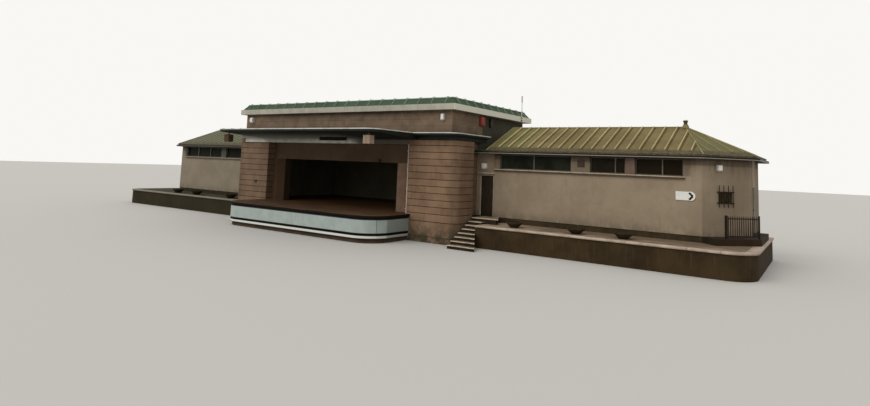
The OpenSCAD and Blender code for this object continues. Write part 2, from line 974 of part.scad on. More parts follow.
// Plain panel: a square at its left and an arrow end at its right, with no lettering
module sign_panel() {
    color("white") translate([wing_start + sign_at, wing_front, 2750]) rotate([90, 0, 0])
        linear_extrude(height = sign_t) union() {
            square([480, 290]);
            translate([470, 145]) circle(r = 175, $fn = 64);
        }
}

// A lamp or bell box standing w wide, d out and h high on a face at y = 0
module wall_box(w, d, h) {
    translate([-w / 2, -d, -h / 2]) cube([w, d, h]);
}

// Floodlights, lamps, hanging boxes and the other small boxes on the walls
module wall_fittings() {
    // The canopy's soffit at the back edge of a hanging box's stem
    stem_r = 35;
    box_y = hang_in[1] - canopy_d;
    soffit = pier_top + (canopy_top - canopy_edge_t - pier_top)
                        * (-box_y - stem_r) / canopy_d;
    color("gainsboro") {
        for (x = [640 - half_w, half_w - 530])
            translate([x, attic_set, block_top - 345]) wall_box(260, 220, 320);
        translate([half_w + 460, link_y, 3820]) wall_box(170, 120, 290);
        translate([wx + wr * t22, wing_front, 4110]) rotate([0, 0, 45])
            translate([795, -seat, 0]) wall_box(230, 130, 250);
        translate([opening_x - lamp_in, jamb_set, lintel_z + 100])
            wall_box(260, 150, 190);
        translate([half_w, return_end - 170, block_top - 335]) rotate([0, 0, 90])
            wall_box(420, 160, 480);
        translate([rear_w, return_end + 1080, block_top - 325]) rotate([0, 0, 90])
            wall_box(260, 140, 500);
        for (x = [hang_in[0] - canopy_x, canopy_x - hang_in[0]])
            translate([x, box_y, 4620]) {
                translate([-210, -170, 0]) cube([420, 340, 440]);
                cylinder(r = stem_r, h = soffit - 4620 - seat);
            }
    }
}

// Downpipe in the right reveal, and the slender mast on the right fascia with its
// thicker white head
module pipe_and_mast() {
    color("white") translate([gap_x - pipe_r, 60, floor_z])
        cylinder(r = pipe_r, h = beam_z - floor_z);
    color("white") translate([fascia_x + mast_r + seat, block_back - mast_in, block_top])
        union() {
            cylinder(r = mast_r, h = mast_top - block_top);
            translate([0, 0, mast_top - block_top - 360])
                cylinder(r = 2 * mast_r, h = 360);
        }
}

scale([model_scale, model_scale, model_scale]) {
    stage_base();
    apron_panels();
    stage_deck();
    piers();
    jamb_walls();
    lintel_wall();
    lintel_beam();
    canopy();
    canopy_edging();
    attic_wall();
    left_side_wall();
    right_side_wall();
    block_back_wall();
    roof_fascia();
    main_roof();
    wing_plinths();
    wing_floors();
    left_front_wall();
    right_front_wall();
    left_rear_walls();
    right_cant_wall();
    right_rear_walls();
    gable_walls();
    left_link_wall();
    right_link_jambs();
    door_heads();
    link_roofs();
    left_wing_roof();
    right_wing_roof();
    gutters();
    glazing();
    sills();
    terraces();
    copings();
    left_landing();
    right_steps();
    end_landing();
    railing();
    planter_bowls();
    window_grille();
    sign_panel();
    wall_fittings();
    pipe_and_mast();
    link_door();
    end_door();
}
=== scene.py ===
# %% [markdown]
# # A park bandstand, built as a half-size model
# The building is a stone stage block with a thin canopy and a curved apron, between two
# low wings with hipped sheet roofs. Its walls, roofs, steps and doors come from the packed
# CAD model, and this lesson adds what CAD leaves out: stone courses, seams, bars, lamps,
# and a finish on every surface.
#
# Everything is in metres in the model's own frame: X to the right along the front, Y back
# into the building and Z up, with the ground at zero.

# %% Load the frame
import json
import math
import random

import bmesh
import bpy
import numpy as np
from mathutils import Matrix, Vector


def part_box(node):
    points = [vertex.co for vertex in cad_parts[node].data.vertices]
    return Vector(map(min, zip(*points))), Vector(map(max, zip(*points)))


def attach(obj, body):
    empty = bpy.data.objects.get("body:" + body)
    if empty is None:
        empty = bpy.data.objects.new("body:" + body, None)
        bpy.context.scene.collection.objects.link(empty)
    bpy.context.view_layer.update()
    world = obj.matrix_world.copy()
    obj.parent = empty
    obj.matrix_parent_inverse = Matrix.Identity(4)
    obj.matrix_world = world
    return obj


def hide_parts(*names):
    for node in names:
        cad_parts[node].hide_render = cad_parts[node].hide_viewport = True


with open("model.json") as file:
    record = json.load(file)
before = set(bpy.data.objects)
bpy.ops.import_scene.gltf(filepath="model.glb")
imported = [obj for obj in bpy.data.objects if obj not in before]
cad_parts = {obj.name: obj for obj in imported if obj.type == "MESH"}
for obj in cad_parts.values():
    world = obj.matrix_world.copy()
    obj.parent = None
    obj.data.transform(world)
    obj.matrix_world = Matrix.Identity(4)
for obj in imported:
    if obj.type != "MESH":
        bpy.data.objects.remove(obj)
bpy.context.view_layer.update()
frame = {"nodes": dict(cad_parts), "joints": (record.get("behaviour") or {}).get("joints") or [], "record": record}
NODES = frame["nodes"]

# %% [markdown]
# ## Real sizes and model sizes
# A maker thinks in the sizes of the real building, such as a course of stone 335 mm high.
# The model is half that size. So one helper turns real metres into model metres, and the
# CAD boxes are turned the other way once, so that both can be used in one sum.

# %% Scale helpers
SCALE = 0.5


def real(*values):
    """Model metres from real metres, one number or a point."""
    scaled = tuple(v * SCALE for v in values)
    return scaled if len(scaled) > 1 else scaled[0]


def real_box(node):
    """A CAD node's lowest and highest corners in real metres."""
    low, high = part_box(node)
    return low / SCALE, high / SCALE


block_low, block_high = real_box("attic_wall")
pier_high = real_box("piers")[1]
wing_low, wing_high = real_box("right_front_wall")
fascia_high = real_box("roof_fascia")[1]
HALF = block_high.x
PIER_OUT = pier_high.x - 0.04
PIER_TOP = pier_high.z
CANOPY_TOP = block_low.z
BLOCK_TOP = block_high.z
ATTIC_Y = block_low.y
WING_Y = wing_low.y
EAVES = wing_high.z
FLOOR = wing_low.z
print("half block", round(HALF, 3), "pier top", round(PIER_TOP, 3), "eaves", round(EAVES, 3))

# %% [markdown]
# ## Camera
# The photograph was taken from the right of the building, from nearly four metres above its
# ground. The camera has a wide lens, and its picture is cropped from the lower part of a
# taller one, which a small vertical shift repeats. Tilting the camera down would show the
# same part, but it would lean the walls.

# %% Camera
PHOTO_WIDTH = 870
PHOTO_HEIGHT = 406
EYE = (22.916, -23.322, 3.773)
YAW, PITCH, ROLL = (math.radians(a) for a in (34.5, 5.815, 2.253))
FOCAL_PIXELS = 571.172
HORIZON_ROW = 106.755

ahead = Vector((-math.sin(YAW) * math.cos(PITCH), math.cos(YAW) * math.cos(PITCH),
                math.sin(PITCH)))
level = Vector((math.cos(YAW), math.sin(YAW), 0))
upright = level.cross(ahead)
side = math.cos(ROLL) * level + math.sin(ROLL) * upright
top = -math.sin(ROLL) * level + math.cos(ROLL) * upright

lens = bpy.data.cameras.new("viewpoint")
lens.sensor_width = 36
lens.lens = FOCAL_PIXELS / PHOTO_WIDTH * lens.sensor_width
lens.shift_y = (HORIZON_ROW - PHOTO_HEIGHT / 2) / PHOTO_WIDTH
lens.clip_end = 500
camera = bpy.data.objects.new("viewpoint", lens)
bpy.context.scene.collection.objects.link(camera)
turn = Matrix((side, top, -ahead)).transposed()
camera.matrix_world = Matrix.Translation(real(*EYE)) @ turn.to_4x4()
bpy.context.scene.camera = camera
print("lens", round(lens.lens, 2), "mm, shift", round(lens.shift_y, 4))

# %% [markdown]
# ## Light and floor
# The day is overcast, so the light comes from the whole sky with hardly a shadow. A pale
# world gives that, and one very soft sun from the front left adds a little direction, as
# a bright part of the sky does. The floor is plain and pale.

# %% Light, world and floor
scene = bpy.context.scene
scene.view_settings.view_transform = "Standard"

world = bpy.data.worlds.new("overcast_sky")
world.use_nodes = True
sky = world.node_tree.nodes["Background"]
sky.inputs["Color"].default_value = (1.0, 0.985, 0.96, 1)
sky.inputs["Strength"].default_value = 0.95
scene.world = world

glow = bpy.data.lights.new("soft_sun", "SUN")
glow.energy = 1.5
glow.angle = math.radians(55)
glow.color = (1.0, 0.98, 0.95)
sun = bpy.data.objects.new("soft_sun", glow)
sun.rotation_euler = (math.radians(48), math.radians(-10), math.radians(-10))
scene.collection.objects.link(sun)

FLOOR_HALF = 90
floor_mesh = bpy.data.meshes.new("studio_floor")
SQUARE = [(-1, -1), (1, -1), (1, 1), (-1, 1)]
floor_mesh.from_pydata([(x * FLOOR_HALF, y * FLOOR_HALF, -0.002) for x, y in SQUARE], [],
                       [(0, 1, 2, 3)])
studio_floor = bpy.data.objects.new("studio_floor", floor_mesh)
scene.collection.objects.link(studio_floor)
paper = bpy.data.materials.new("floor_paper")
paper.use_nodes = True
paper_shader = paper.node_tree.nodes["Principled BSDF"]
paper_shader.inputs["Base Color"].default_value = (0.42, 0.41, 0.39, 1)
paper_shader.inputs["Roughness"].default_value = 0.9
floor_mesh.materials.append(paper)
print("sun strength", glow.energy, "and a floor", 2 * FLOOR_HALF, "m wide")

# %% [markdown]
# ## A small kit for finishes
# Most finishes here are weathered: the colour changes in patches, rain leaves streaks, and
# dirt gathers near the ground. Those steps come back again and again, so a small class holds
# them. Sizes are real metres, and a colour is three screen numbers from 0 to 255. All
# patterns read Object coordinates, which stay put on the piece from any viewpoint.

# %% Node helpers
def add_node(tree, kind, feeds, **modes):
    """Adds a node and gives its outputs. A feed is a value, a socket or a list of sockets."""
    node = tree.nodes.new(kind)
    for name, value in modes.items():
        setattr(node, name, value)
    for name, value in feeds.items():
        for feed in value if isinstance(value, list) else [value]:
            if isinstance(feed, bpy.types.NodeSocket):
                tree.links.new(feed, node.inputs[name])
            else:
                node.inputs[name].default_value = feed
    return node.outputs


def shade(colour):
    """Three screen numbers as the linear colour that shaders take."""
    def linear(value):
        value /= 255
        return value / 12.92 if value <= 0.04045 else ((value + 0.055) / 1.055) ** 2.4
    return tuple(linear(v) for v in colour) + (1,)


FINISHES = {}
LEFT_WING = (-8.0, -9.0)
# the colour sockets' places on a mix node, which has a set for each kind of value
COLOUR_A, COLOUR_B, COLOUR_OUT = 6, 7, 2
print("node helpers ready")


# %% Finish kit
class Finish:
    """A material, kept under its key, and the node steps that colour it."""

    def __init__(self, key, name, roughness, sheen=0.15):
        FINISHES[key] = bpy.data.materials.new(name)
        FINISHES[key].use_nodes = True
        self.tree = FINISHES[key].node_tree
        self.shader = self.tree.nodes["Principled BSDF"].inputs
        self.shader["Roughness"].default_value = roughness
        self.shader["Specular IOR Level"].default_value = sheen
        self.coords = self.add("TexCoord", {})["Object"]
        self.x, self.y, self.z = self.add("SeparateXYZ", {0: self.coords})
        self.base = None

    def add(self, kind, feeds, **modes):
        """Adds a shader node and gives its outputs."""
        return add_node(self.tree, "ShaderNode" + kind, feeds, **modes)

    def noise(self, size, stretch=(1, 1, 1), detail=4, shift=0.0):
        """Cloudy noise whose patches are about size across, longer along a stretch."""
        scale = tuple(1 / (real(size) * s) for s in stretch)
        place = self.add("Mapping", {"Vector": self.coords, "Scale": scale,
                                     "Location": (shift, shift, shift)})
        return self.add("TexNoise", {"Vector": place[0], "Scale": 1.0, "Detail": detail,
                                     "Roughness": 0.6})["Fac"]

    def band(self, value, low, high):
        """0 at low and 1 at high, with a smooth change between them. low may be the larger."""
        rising = low < high
        feeds = {"Value": value, "From Min": min(low, high), "From Max": max(low, high),
                 "To Min": 0.0 if rising else 1.0, "To Max": 1.0 if rising else 0.0}
        return self.add("MapRange", feeds, interpolation_type="SMOOTHSTEP")["Result"]

    def patches(self, size, low, high, **look):
        """Patches of noise: 0 where the noise is under low, 1 where it is over high."""
        return self.band(self.noise(size, **look), low, high)

    def along_x(self, low, high):
        """A band between two places across the building."""
        return self.band(self.x, real(low), real(high))

    def along_y(self, low, high):
        """The same from front to back."""
        return self.band(self.y, real(low), real(high))

    def along_z(self, low, high):
        """The same between two heights."""
        return self.band(self.z, real(low), real(high))

    def off_centre(self, low, high):
        """A band by the distance from the symmetry plane."""
        return self.band(self.combine("ABSOLUTE", self.x, 0.0), real(low), real(high))

    def on_left(self):
        """1 on the left wing and its terrace, 0 on the rest."""
        return self.along_x(*LEFT_WING)

    def combine(self, operation, a, b):
        """One sum of two values, or of sockets."""
        return self.add("Math", {0: a, 1: b}, operation=operation)[0]

    def both(self, a, b):
        """High only where a and b are."""
        return self.combine("MULTIPLY", a, b)

    def either(self, a, b):
        """The higher of a and b."""
        return self.combine("MAXIMUM", a, b)

    def mix(self, factor, a, b):
        """Colour a, and b where the factor is high."""
        first, second = [shade(c) if isinstance(c, tuple) else c for c in (a, b)]
        feeds = {"Factor": factor, COLOUR_A: first, COLOUR_B: second}
        return self.add("Mix", feeds, data_type="RGBA")[COLOUR_OUT]

    def layer(self, colour, mask, strength, over):
        """over laid on colour where mask is high."""
        return self.mix(self.both(mask, strength), colour, over)

    def coat(self, mask, strength, over):
        """The same on the finish's own colour so far."""
        self.base = self.layer(self.base, mask, strength, over)

    def wear(self, over=None, height=None, depth=0.0):
        """Puts the colour on, after the coats that over adds by place, and a bump."""
        if over:
            over(self)
        self.tree.links.new(self.base, self.shader["Base Color"])
        if height is not None:
            bump = self.add("Bump", {"Distance": real(depth), "Height": height})
            self.tree.links.new(bump[0], self.shader["Normal"])


print("finish kit ready")

# %% [markdown]
# ## Stone and render
# The piers and the attic are brown sandstone. Each block has its own tone, which the blocks
# carry as an attribute. Soot and moss darken them in streaks and near the ground, and painted
# shade darkens them under the canopy and the fascia, on the piers' rounded corners and on the
# left. The render of the wings is paler and greyer, with the same weathering on it and painted
# shade under the eaves. Pictures of stone could be wrapped round the walls, but noise that is
# worked out in place has no seam and never repeats.

# %% Stone finish
def stone_finish(key, name, light, dark, tone_amount=0.3, soot_and_shade=None, shaded=0.0, streaks=0.25):
    """Sandstone with moss low down. Soot and painted shade darken it where a mask says, and painted shade darkens
    the left.
    """
    f = Finish(key, name, 0.92)
    f.base = f.mix(f.patches(0.9, 0.36, 0.64), light, dark)
    tone = f.add("Attribute", {}, attribute_name="tone")["Fac"]
    f.coat(tone, tone_amount, (150, 122, 98))
    warm = f.patches(0.6, 0.52, 0.72, shift=11.0)
    f.coat(warm, 0.3, (140, 118, 86))
    grain = f.noise(0.05, detail=6)
    f.coat(f.band(grain, 0.5, 0.75), 0.25, (79, 63, 48))
    streak = f.patches(0.22, 0.5, 0.72, stretch=(1, 1, 7))
    f.coat(streak, streaks, (72, 58, 44))
    low = f.both(f.along_z(1.4, 0.2), f.patches(0.5, 0.3, 0.6))
    f.coat(low, 0.8, (58, 54, 44))
    foot = f.both(f.along_z(0.5, 0.15), f.patches(0.25, 0.35, 0.6))
    f.coat(foot, 0.6, (44, 46, 26))
    # painted shade on the left
    f.coat(f.along_x(-3.0, -6.0), shaded, (62, 56, 50))
    # Soot, with painted shade where the mask says so
    if soot_and_shade:
        f.coat(soot_and_shade(f), 0.34, (54, 43, 32))
    f.wear(None, f.combine("ADD", grain, f.noise(0.3)), 0.006)


def pier_soot_and_shade(f):
    """Soot with painted shadow under the canopy, and painted shade on the rounded outer corner of each pier."""
    # soot with painted shadow under the canopy
    top = f.both(f.along_z(PIER_TOP - 0.9, PIER_TOP),
                 f.patches(0.35, 0.3, 0.6, stretch=(1, 1, 4)))
    # painted shade on each pier's rounded corner, which faces away from the light
    across = f.off_centre(PIER_OUT - 0.75, PIER_OUT - 0.2)
    corner = f.both(across, f.patches(0.9, 0.1, 0.55, shift=4.0))
    return f.either(top, corner)


def attic_soot_and_shade(f):
    """Soot that hangs below the fascia, with painted shade there, and creeps up from the canopy."""
    # painted shade with soot below the fascia, soot above the canopy
    edge = f.either(f.along_z(BLOCK_TOP - 0.35, BLOCK_TOP),
                    f.along_z(CANOPY_TOP + 0.4, CANOPY_TOP))
    return f.both(edge, f.patches(0.4, 0.3, 0.6, stretch=(1, 1, 3)))


stone_finish("stone", "sandstone", (124, 100, 80), (108, 85, 66), soot_and_shade=pier_soot_and_shade, shaded=0.32)
stone_finish("attic_stone", "attic_sandstone", (112, 96, 81), (96, 82, 68), tone_amount=0.1,
             soot_and_shade=attic_soot_and_shade, streaks=0.1)
stone_finish("joint", "sandstone_joint", (46, 33, 23), (36, 26, 18), tone_amount=0)
print("stone finishes made")

# %% Render finish
def render_finish(key, name, light, dark, foot, streaks=0.3, drips=0.6, blotch=0.3, weather_and_shade=None):
    """Render with patches, rain streaks, drips under the eaves and a dirty foot."""
    f = Finish(key, name, 0.9)
    f.base = f.mix(f.patches(1.6, 0.35, 0.65), light, dark)
    f.coat(f.patches(0.35, 0.5, 0.8), blotch, (112, 98, 80))
    streak = f.patches(0.16, 0.55, 0.75, stretch=(1, 1, 14))
    f.coat(streak, streaks, (96, 84, 68))
    splash = f.both(f.along_z(foot + 0.45, foot), f.patches(0.28, 0.35, 0.6, stretch=(1, 1, 2)))
    f.coat(splash, 0.5, (88, 82, 66))
    drip = f.both(f.along_z(EAVES - 1.0, EAVES - 0.1),
                  f.patches(0.2, 0.42, 0.66, stretch=(1, 1, 7), shift=2.0))
    f.coat(drip, drips, (92, 72, 52))
    f.wear(weather_and_shade, f.noise(0.025, detail=5), 0.004)


WINDOW_Z, WINDOW_TOP = [corner.z for corner in real_box("glazing")]


def wing_grime_and_shade(f):
    """Grime with painted eave shadow below the eaves and on the strips between windows, and painted shade at the
    right end. The left wing is duller.
    """
    # painted shadow with grime below the eaves
    f.coat(f.along_z(EAVES - 0.36, EAVES - 0.29), 0.45, (50, 40, 30))
    f.coat(f.along_z(EAVES - 0.2, EAVES), 0.6, (36, 27, 18))
    # grime with painted eave shade on the strips between the windows
    strip = f.both(f.along_z(WINDOW_Z, WINDOW_Z + 0.02), f.off_centre(18.3, 18.1))
    f.coat(strip, 0.4, (62, 52, 44))
    # painted shade on the right end, away from the light
    f.coat(f.along_x(18.9, 19.9), 0.25, (78, 66, 54))
    left = f.on_left()
    f.coat(f.both(strip, left), 0.7, (48, 48, 40))
    f.coat(left, 0.22, (90, 100, 94))


render_finish("render", "pale_render", (137, 123, 104), (126, 112, 94), FLOOR,
              weather_and_shade=wing_grime_and_shade)
render_finish("link_render", "link_render", (150, 132, 112), (136, 119, 100), FLOOR, streaks=0.05,
              drips=0.1)
render_finish("grey_wall", "brown_render", (83, 66, 52), (73, 58, 44), 0.0, streaks=0.05,
              drips=0.0, blotch=0.1)
render_finish("side_render", "grey_render", (70, 67, 54), (61, 59, 47), 0.0, streaks=0.12,
              drips=0.0, blotch=0.08)
print("render finishes made, windows from", round(WINDOW_Z, 3), "to", round(WINDOW_TOP, 3))

# %% [markdown]
# ## Mossy masonry, floors and steps
# The terrace walls and plinths are nearly black with green in it in the photograph, and they
# have vertical streaks. Treads and copings are paler, with dark blotches. CAD has a terrace
# and its floor in one node, so one finish covers both and changes colour just below the top.
# A second material would need its own faces.

# %% Damp wall finish
def damp_finish(key, name, light, dark, moss, top=None, over=None):
    """Damp masonry with streaks and moss. A top adds a pale worn colour above a height."""
    f = Finish(key, name, 0.95)
    f.base = f.mix(f.patches(0.9, 0.3, 0.7), light, dark)
    f.coat(f.patches(0.15, 0.5, 0.7, stretch=(1, 1, 10)), 0.5, dark)
    pale = f.patches(0.1, 0.56, 0.72, stretch=(1, 1, 12), shift=7.0)
    f.coat(pale, 0.4, (76, 63, 42))
    f.coat(f.patches(0.6, 0.5, 0.75, shift=3.0), 0.4, moss)
    if top:
        height, worn, dirt = top
        paving = f.mix(f.patches(0.5, 0.4, 0.64, stretch=(2, 1, 1), shift=9.0), worn, dirt)
        silt = f.both(f.along_y(WING_Y - 1.35, WING_Y - 1.0), f.along_x(10.0, 12.2))
        paving = f.layer(paving, silt, 0.8, (98, 84, 65))
        walked = f.both(f.along_x(13.0, 9.6), f.along_x(-1.0, 1.0))
        paving = f.layer(paving, walked, 0.45, (164, 146, 124))
        paving = f.layer(paving, f.along_x(1.0, -1.0), 0.7, (58, 56, 38))
        f.base = f.mix(f.along_z(height - 0.012, height - 0.004), f.base, paving)
    f.wear(over, f.noise(0.06, detail=6), 0.01)


def left_gloom(f):
    """Masonry on the left is darker and greener."""
    f.coat(f.on_left(), 0.62, (37, 36, 23))


def apron_shadow(f):
    """Painted shade darkens the base, and painted shadow is black behind the gap between the apron's panel and its
    rail.
    """
    # painted shade on the base under the rail
    f.coat(f.along_z(0.05, 0.2), 0.6, (30, 25, 18))
    # painted shadow behind the gap
    f.coat(f.along_z(0.2, 0.25), 0.95, (14, 12, 9))


terrace_low, terrace_high = real_box("terraces")
TERRACE_Z = terrace_high.z
damp_finish("plinth", "damp_masonry", (61, 50, 34), (42, 34, 22), (50, 50, 26), over=left_gloom)
damp_finish("terrace", "terrace_masonry", (58, 45, 27), (42, 32, 18), (48, 45, 22),
            top=(TERRACE_Z, (124, 108, 91), (92, 78, 61)), over=left_gloom)
damp_finish("base", "brown_base", (76, 63, 51), (58, 47, 37), (52, 47, 32), over=apron_shadow)
damp_finish("bowl", "bowl_concrete", (60, 47, 31), (38, 29, 19), (46, 46, 25),
            top=(TERRACE_Z + 0.30, (120, 104, 80), (84, 70, 50)), over=left_gloom)
print("damp finishes made")


# %% Worn floor finish
def worn_finish(key, name, light, dark, stain, patch=0.5, over=None):
    """Swept masonry with dark stains. over may change the colour by place."""
    f = Finish(key, name, 0.85)
    f.base = f.mix(f.patches(patch, 0.36, 0.64), light, dark)
    f.coat(f.patches(0.12, 0.52, 0.74, detail=6), 0.5, stain)
    f.coat(f.patches(1.4, 0.55, 0.75, shift=5.0), 0.4, stain)
    f.wear(over, f.noise(0.04, detail=5), 0.004)


def left_coping(f):
    """Copings on the left are greyer."""
    f.coat(f.on_left(), 0.8, (100, 101, 87))


def red_landing(f):
    """The landing at the right end is a redder brown than the flight."""
    f.coat(f.along_x(19.0, 19.3), 0.4, (52, 34, 22))


worn_finish("coping", "pale_coping", (172, 156, 141), (148, 132, 117), (104, 90, 74),
            over=left_coping)
worn_finish("steps", "step_concrete", (43, 35, 23), (29, 23, 14), (22, 17, 10), over=red_landing)
worn_finish("tread", "worn_tread", (134, 119, 99), (102, 88, 71), (62, 51, 37))
worn_finish("nosing", "pale_nosing", (188, 176, 156), (160, 148, 128), (100, 86, 68), patch=0.3)
print("floor finishes made")


# %% Stage floor finish
def deck_finish():
    """A brown floor, greyer in front of the opening, with its front edge painted black as the shadow under the
    nosing.
    """
    f = Finish("deck", "stage_floor", 0.7, 0.05)
    inside = f.mix(f.patches(0.8, 0.35, 0.65, stretch=(3, 1, 1)), (84, 60, 39), (68, 48, 30))
    outside = f.mix(f.patches(0.7, 0.35, 0.65, stretch=(2, 1, 1)), (84, 65, 50), (67, 50, 38))
    f.base = f.mix(f.along_y(0.6, -1.8), inside, outside)
    f.coat(f.patches(0.08, 0.55, 0.75, detail=6), 0.35, (54, 38, 26))
    # painted shadow: the deck's front edge is black
    edge = f.along_z(FLOOR - 0.012, FLOOR - 0.018)
    f.coat(edge, 0.95, (15, 13, 10))
    f.wear(None, f.noise(0.03), 0.002)


deck_finish()
print("stage floor finish made")

# %% [markdown]
# ## Paint and sheet metal
# The fascia, the apron boards and the beam are painted, and old paint goes grey in drips and
# specks. The wing roofs are an olive painted sheet. The main roof and the link roofs are
# copper, which is green with darker runs. Where one piece has two tones in the photograph,
# its finish changes with place, which keeps the piece whole.

# %% Paint finish
def paint_finish(key, name, light, dark, dirt, roughness=0.6, patch=0.6, dirt_amount=0.4,
                 sheen=0.3, over=None):
    """Old paint with drips. over may change the colour by height or place."""
    f = Finish(key, name, roughness, sheen)
    f.base = f.mix(f.patches(patch, 0.36, 0.64), light, dark)
    drip = f.patches(0.12, 0.54, 0.72, stretch=(1, 1, 8))
    f.coat(drip, dirt_amount, dirt)
    f.coat(f.patches(0.05, 0.58, 0.78, detail=6), dirt_amount, dirt)
    f.wear(over, f.noise(0.15), 0.002)


def fascia_lit_end(f):
    """Painted light: the fascia's right end is painted brighter than its front."""
    # painted light on the right end face
    f.coat(f.along_x(fascia_high.x - 0.03, fascia_high.x - 0.01), 0.8, (206, 204, 188))


paint_finish("fascia", "fascia_paint", (160, 157, 143), (147, 142, 128), (98, 90, 74),
             over=fascia_lit_end)
paint_finish("link_frame", "door_frame_paint", (176, 168, 152), (156, 148, 132), (96, 86, 70))
paint_finish("frame_paint", "frame_paint", (72, 69, 59), (61, 58, 49), (38, 35, 28),
             roughness=0.5)
paint_finish("fitting", "fitting_paint", (200, 196, 186), (182, 177, 167), (124, 116, 104))
paint_finish("sign", "sign_enamel", (206, 206, 200), (196, 196, 190), (150, 148, 138),
             roughness=0.35, dirt_amount=0.2)
paint_finish("iron", "black_iron", (36, 26, 17), (26, 18, 11), (62, 38, 22), roughness=0.55,
             sheen=0.1)
paint_finish("door", "door_paint", (49, 38, 21), (39, 30, 15), (26, 19, 10), roughness=0.6)
paint_finish("dark_board", "dark_board", (34, 33, 26), (26, 25, 20), (17, 16, 12), roughness=0.9,
             sheen=0.05)
print("paint finishes made")


# %% Apron and canopy paint
SEAM_X = 5.40


def apron_bands_and_shadows(f):
    """Painted shadow, black, in the gap over the white rail, under the deck and below the rail, painted shade past
    the seam where the apron turns, and dirty on the right.
    """
    # painted shadows: the gap over the rail, under the deck's nosing, and below the rail
    gap = f.both(f.along_z(0.336, 0.342), f.along_z(0.474, 0.466))
    lip = f.along_z(1.07, 1.08)
    foot = f.along_z(0.236, 0.23)
    f.coat(f.along_z(0.40, 0.39), 0.95, (196, 197, 190))
    f.coat(foot, 0.9, (24, 20, 15))
    seam = f.both(f.along_x(SEAM_X - 0.015, SEAM_X - 0.008),
                  f.along_x(SEAM_X + 0.015, SEAM_X + 0.008))
    seam = f.both(seam, f.along_z(0.41, 0.42))
    f.coat(seam, 0.6, (60, 64, 58))
    # painted shade past the seam, where the apron turns away from the light
    f.coat(f.along_x(SEAM_X, SEAM_X + 0.02), 0.2, (104, 108, 98))
    spot = f.both(f.along_x(SEAM_X, SEAM_X + 0.1), f.along_y(-1.76, -1.72))
    spot = f.both(spot, f.patches(0.4, 0.2, 0.42, stretch=(1, 1, 2)))
    f.coat(spot, 0.5, (86, 88, 78))
    f.coat(f.either(gap, lip), 0.96, (18, 15, 12))


def soffit_light_and_shade(f):
    """Painted shade makes the underside nearly black, and painted light makes it grey by the wall, except on the
    right.
    """
    # painted light on the underside by the wall
    inner = f.both(f.along_y(-2.9, 0.3), f.along_z(CANOPY_TOP - 0.02, CANOPY_TOP - 0.04))
    left = f.along_x(3.4, 1.2)
    f.coat(f.both(inner, left), 0.9, (132, 134, 124))


def edge_height(f):
    """Only the top of the folded edge is bright. The rest is dark."""
    top = CANOPY_TOP - 0.034
    f.coat(f.along_z(top, top - 0.006), 0.9, (26, 27, 21))


paint_finish("panel", "apron_paint", (152, 161, 158), (144, 153, 150), (112, 116, 109),
             dirt_amount=0.18, sheen=0.06, over=apron_bands_and_shadows)
# on the underside, this dark paint is partly painted shade
paint_finish("canopy", "soffit_paint", (24, 26, 20), (17, 19, 14), (11, 12, 8), sheen=0.2,
             over=soffit_light_and_shade)
paint_finish("metal_edge", "bright_edging", (198, 200, 194), (178, 180, 174), (124, 124, 115),
             roughness=0.4, over=edge_height)
print("apron and canopy paints made")


# %% Gutter, beam and sill paint
def gutter_height(f):
    """A gutter painted dark as shade, with a thin bright lip, which has dulled on the left wing."""
    lip = f.both(f.along_z(EAVES + 0.002, EAVES - 0.008), f.along_z(EAVES - 0.04, EAVES - 0.03))
    f.coat(lip, 0.9, (134, 129, 118))
    f.coat(f.on_left(), 0.7, (50, 48, 40))


def beam_tones_and_shade(f):
    """Painted shade grey along the top under the canopy, grey on the left, and brown on the right."""
    # painted shade under the canopy
    f.coat(f.along_z(PIER_TOP - 0.19, PIER_TOP), 0.5, (70, 70, 60))
    f.coat(f.along_x(-0.5, -3.5), 0.35, (92, 92, 84))
    f.coat(f.along_x(1.3, 2.2), 0.93, (62, 50, 36))


def sill_height(f):
    """The sill's lower part is in its own shade and dirty."""
    f.coat(f.along_z(WINDOW_Z - 0.04, WINDOW_Z - 0.05), 0.9, (36, 26, 18))
    f.coat(f.on_left(), 0.4, (84, 80, 66))


# painted shade: the gutter is painted dark below its bright lip
paint_finish("gutter", "gutter_shade_paint", (29, 24, 17), (22, 18, 13), (15, 12, 8), roughness=0.5,
             sheen=0.1, over=gutter_height)
paint_finish("beam", "beam_paint", (206, 206, 194), (176, 178, 166), (108, 108, 96),
             over=beam_tones_and_shade)
paint_finish("sill", "sill_paint", (166, 149, 127), (148, 132, 110), (106, 90, 73), roughness=0.8,
             over=sill_height)
print("gutter, beam and sill paints made")


# %% Roof sheet finish
def sheet_finish(key, name, light, dark, run, foot=None, over=None):
    """Weathered roof sheet, with runs down the slope and a dirty foot."""
    f = Finish(key, name, 0.7)
    f.base = f.mix(f.patches(1.5, 0.35, 0.65), light, dark)
    f.coat(f.patches(0.25, 0.5, 0.75, stretch=(1, 3, 3)), 0.35, run)
    f.coat(f.patches(0.07, 0.6, 0.8, detail=6), 0.4, run)
    if over:
        over(f)
    if foot is not None:
        edge = f.along_z(foot + 0.34, foot + 0.25)
        grime = f.mix(f.patches(0.12, 0.4, 0.6, detail=5), (80, 70, 52), (54, 47, 34))
        f.coat(edge, 0.85, grime)
    f.wear(None, f.noise(0.5), 0.006)


def wing_tint(f):
    """Greyer on the left, greener at the right end, moss by the block and a dark cowl."""
    f.coat(f.along_x(17.6, 18.6), 0.65, (88, 87, 56))
    moss = f.both(f.along_x(11.2, 9.6), f.along_x(0.0, 1.0))
    moss = f.both(moss, f.patches(0.7, 0.35, 0.6, shift=6.0))
    f.coat(moss, 0.6, (80, 90, 48))
    cowl = real_box("right_wing_roof")[1].z - 0.29
    f.coat(f.along_z(cowl, cowl + 0.03), 0.85, (58, 62, 48))
    f.coat(f.on_left(), 0.85, (91, 94, 75))


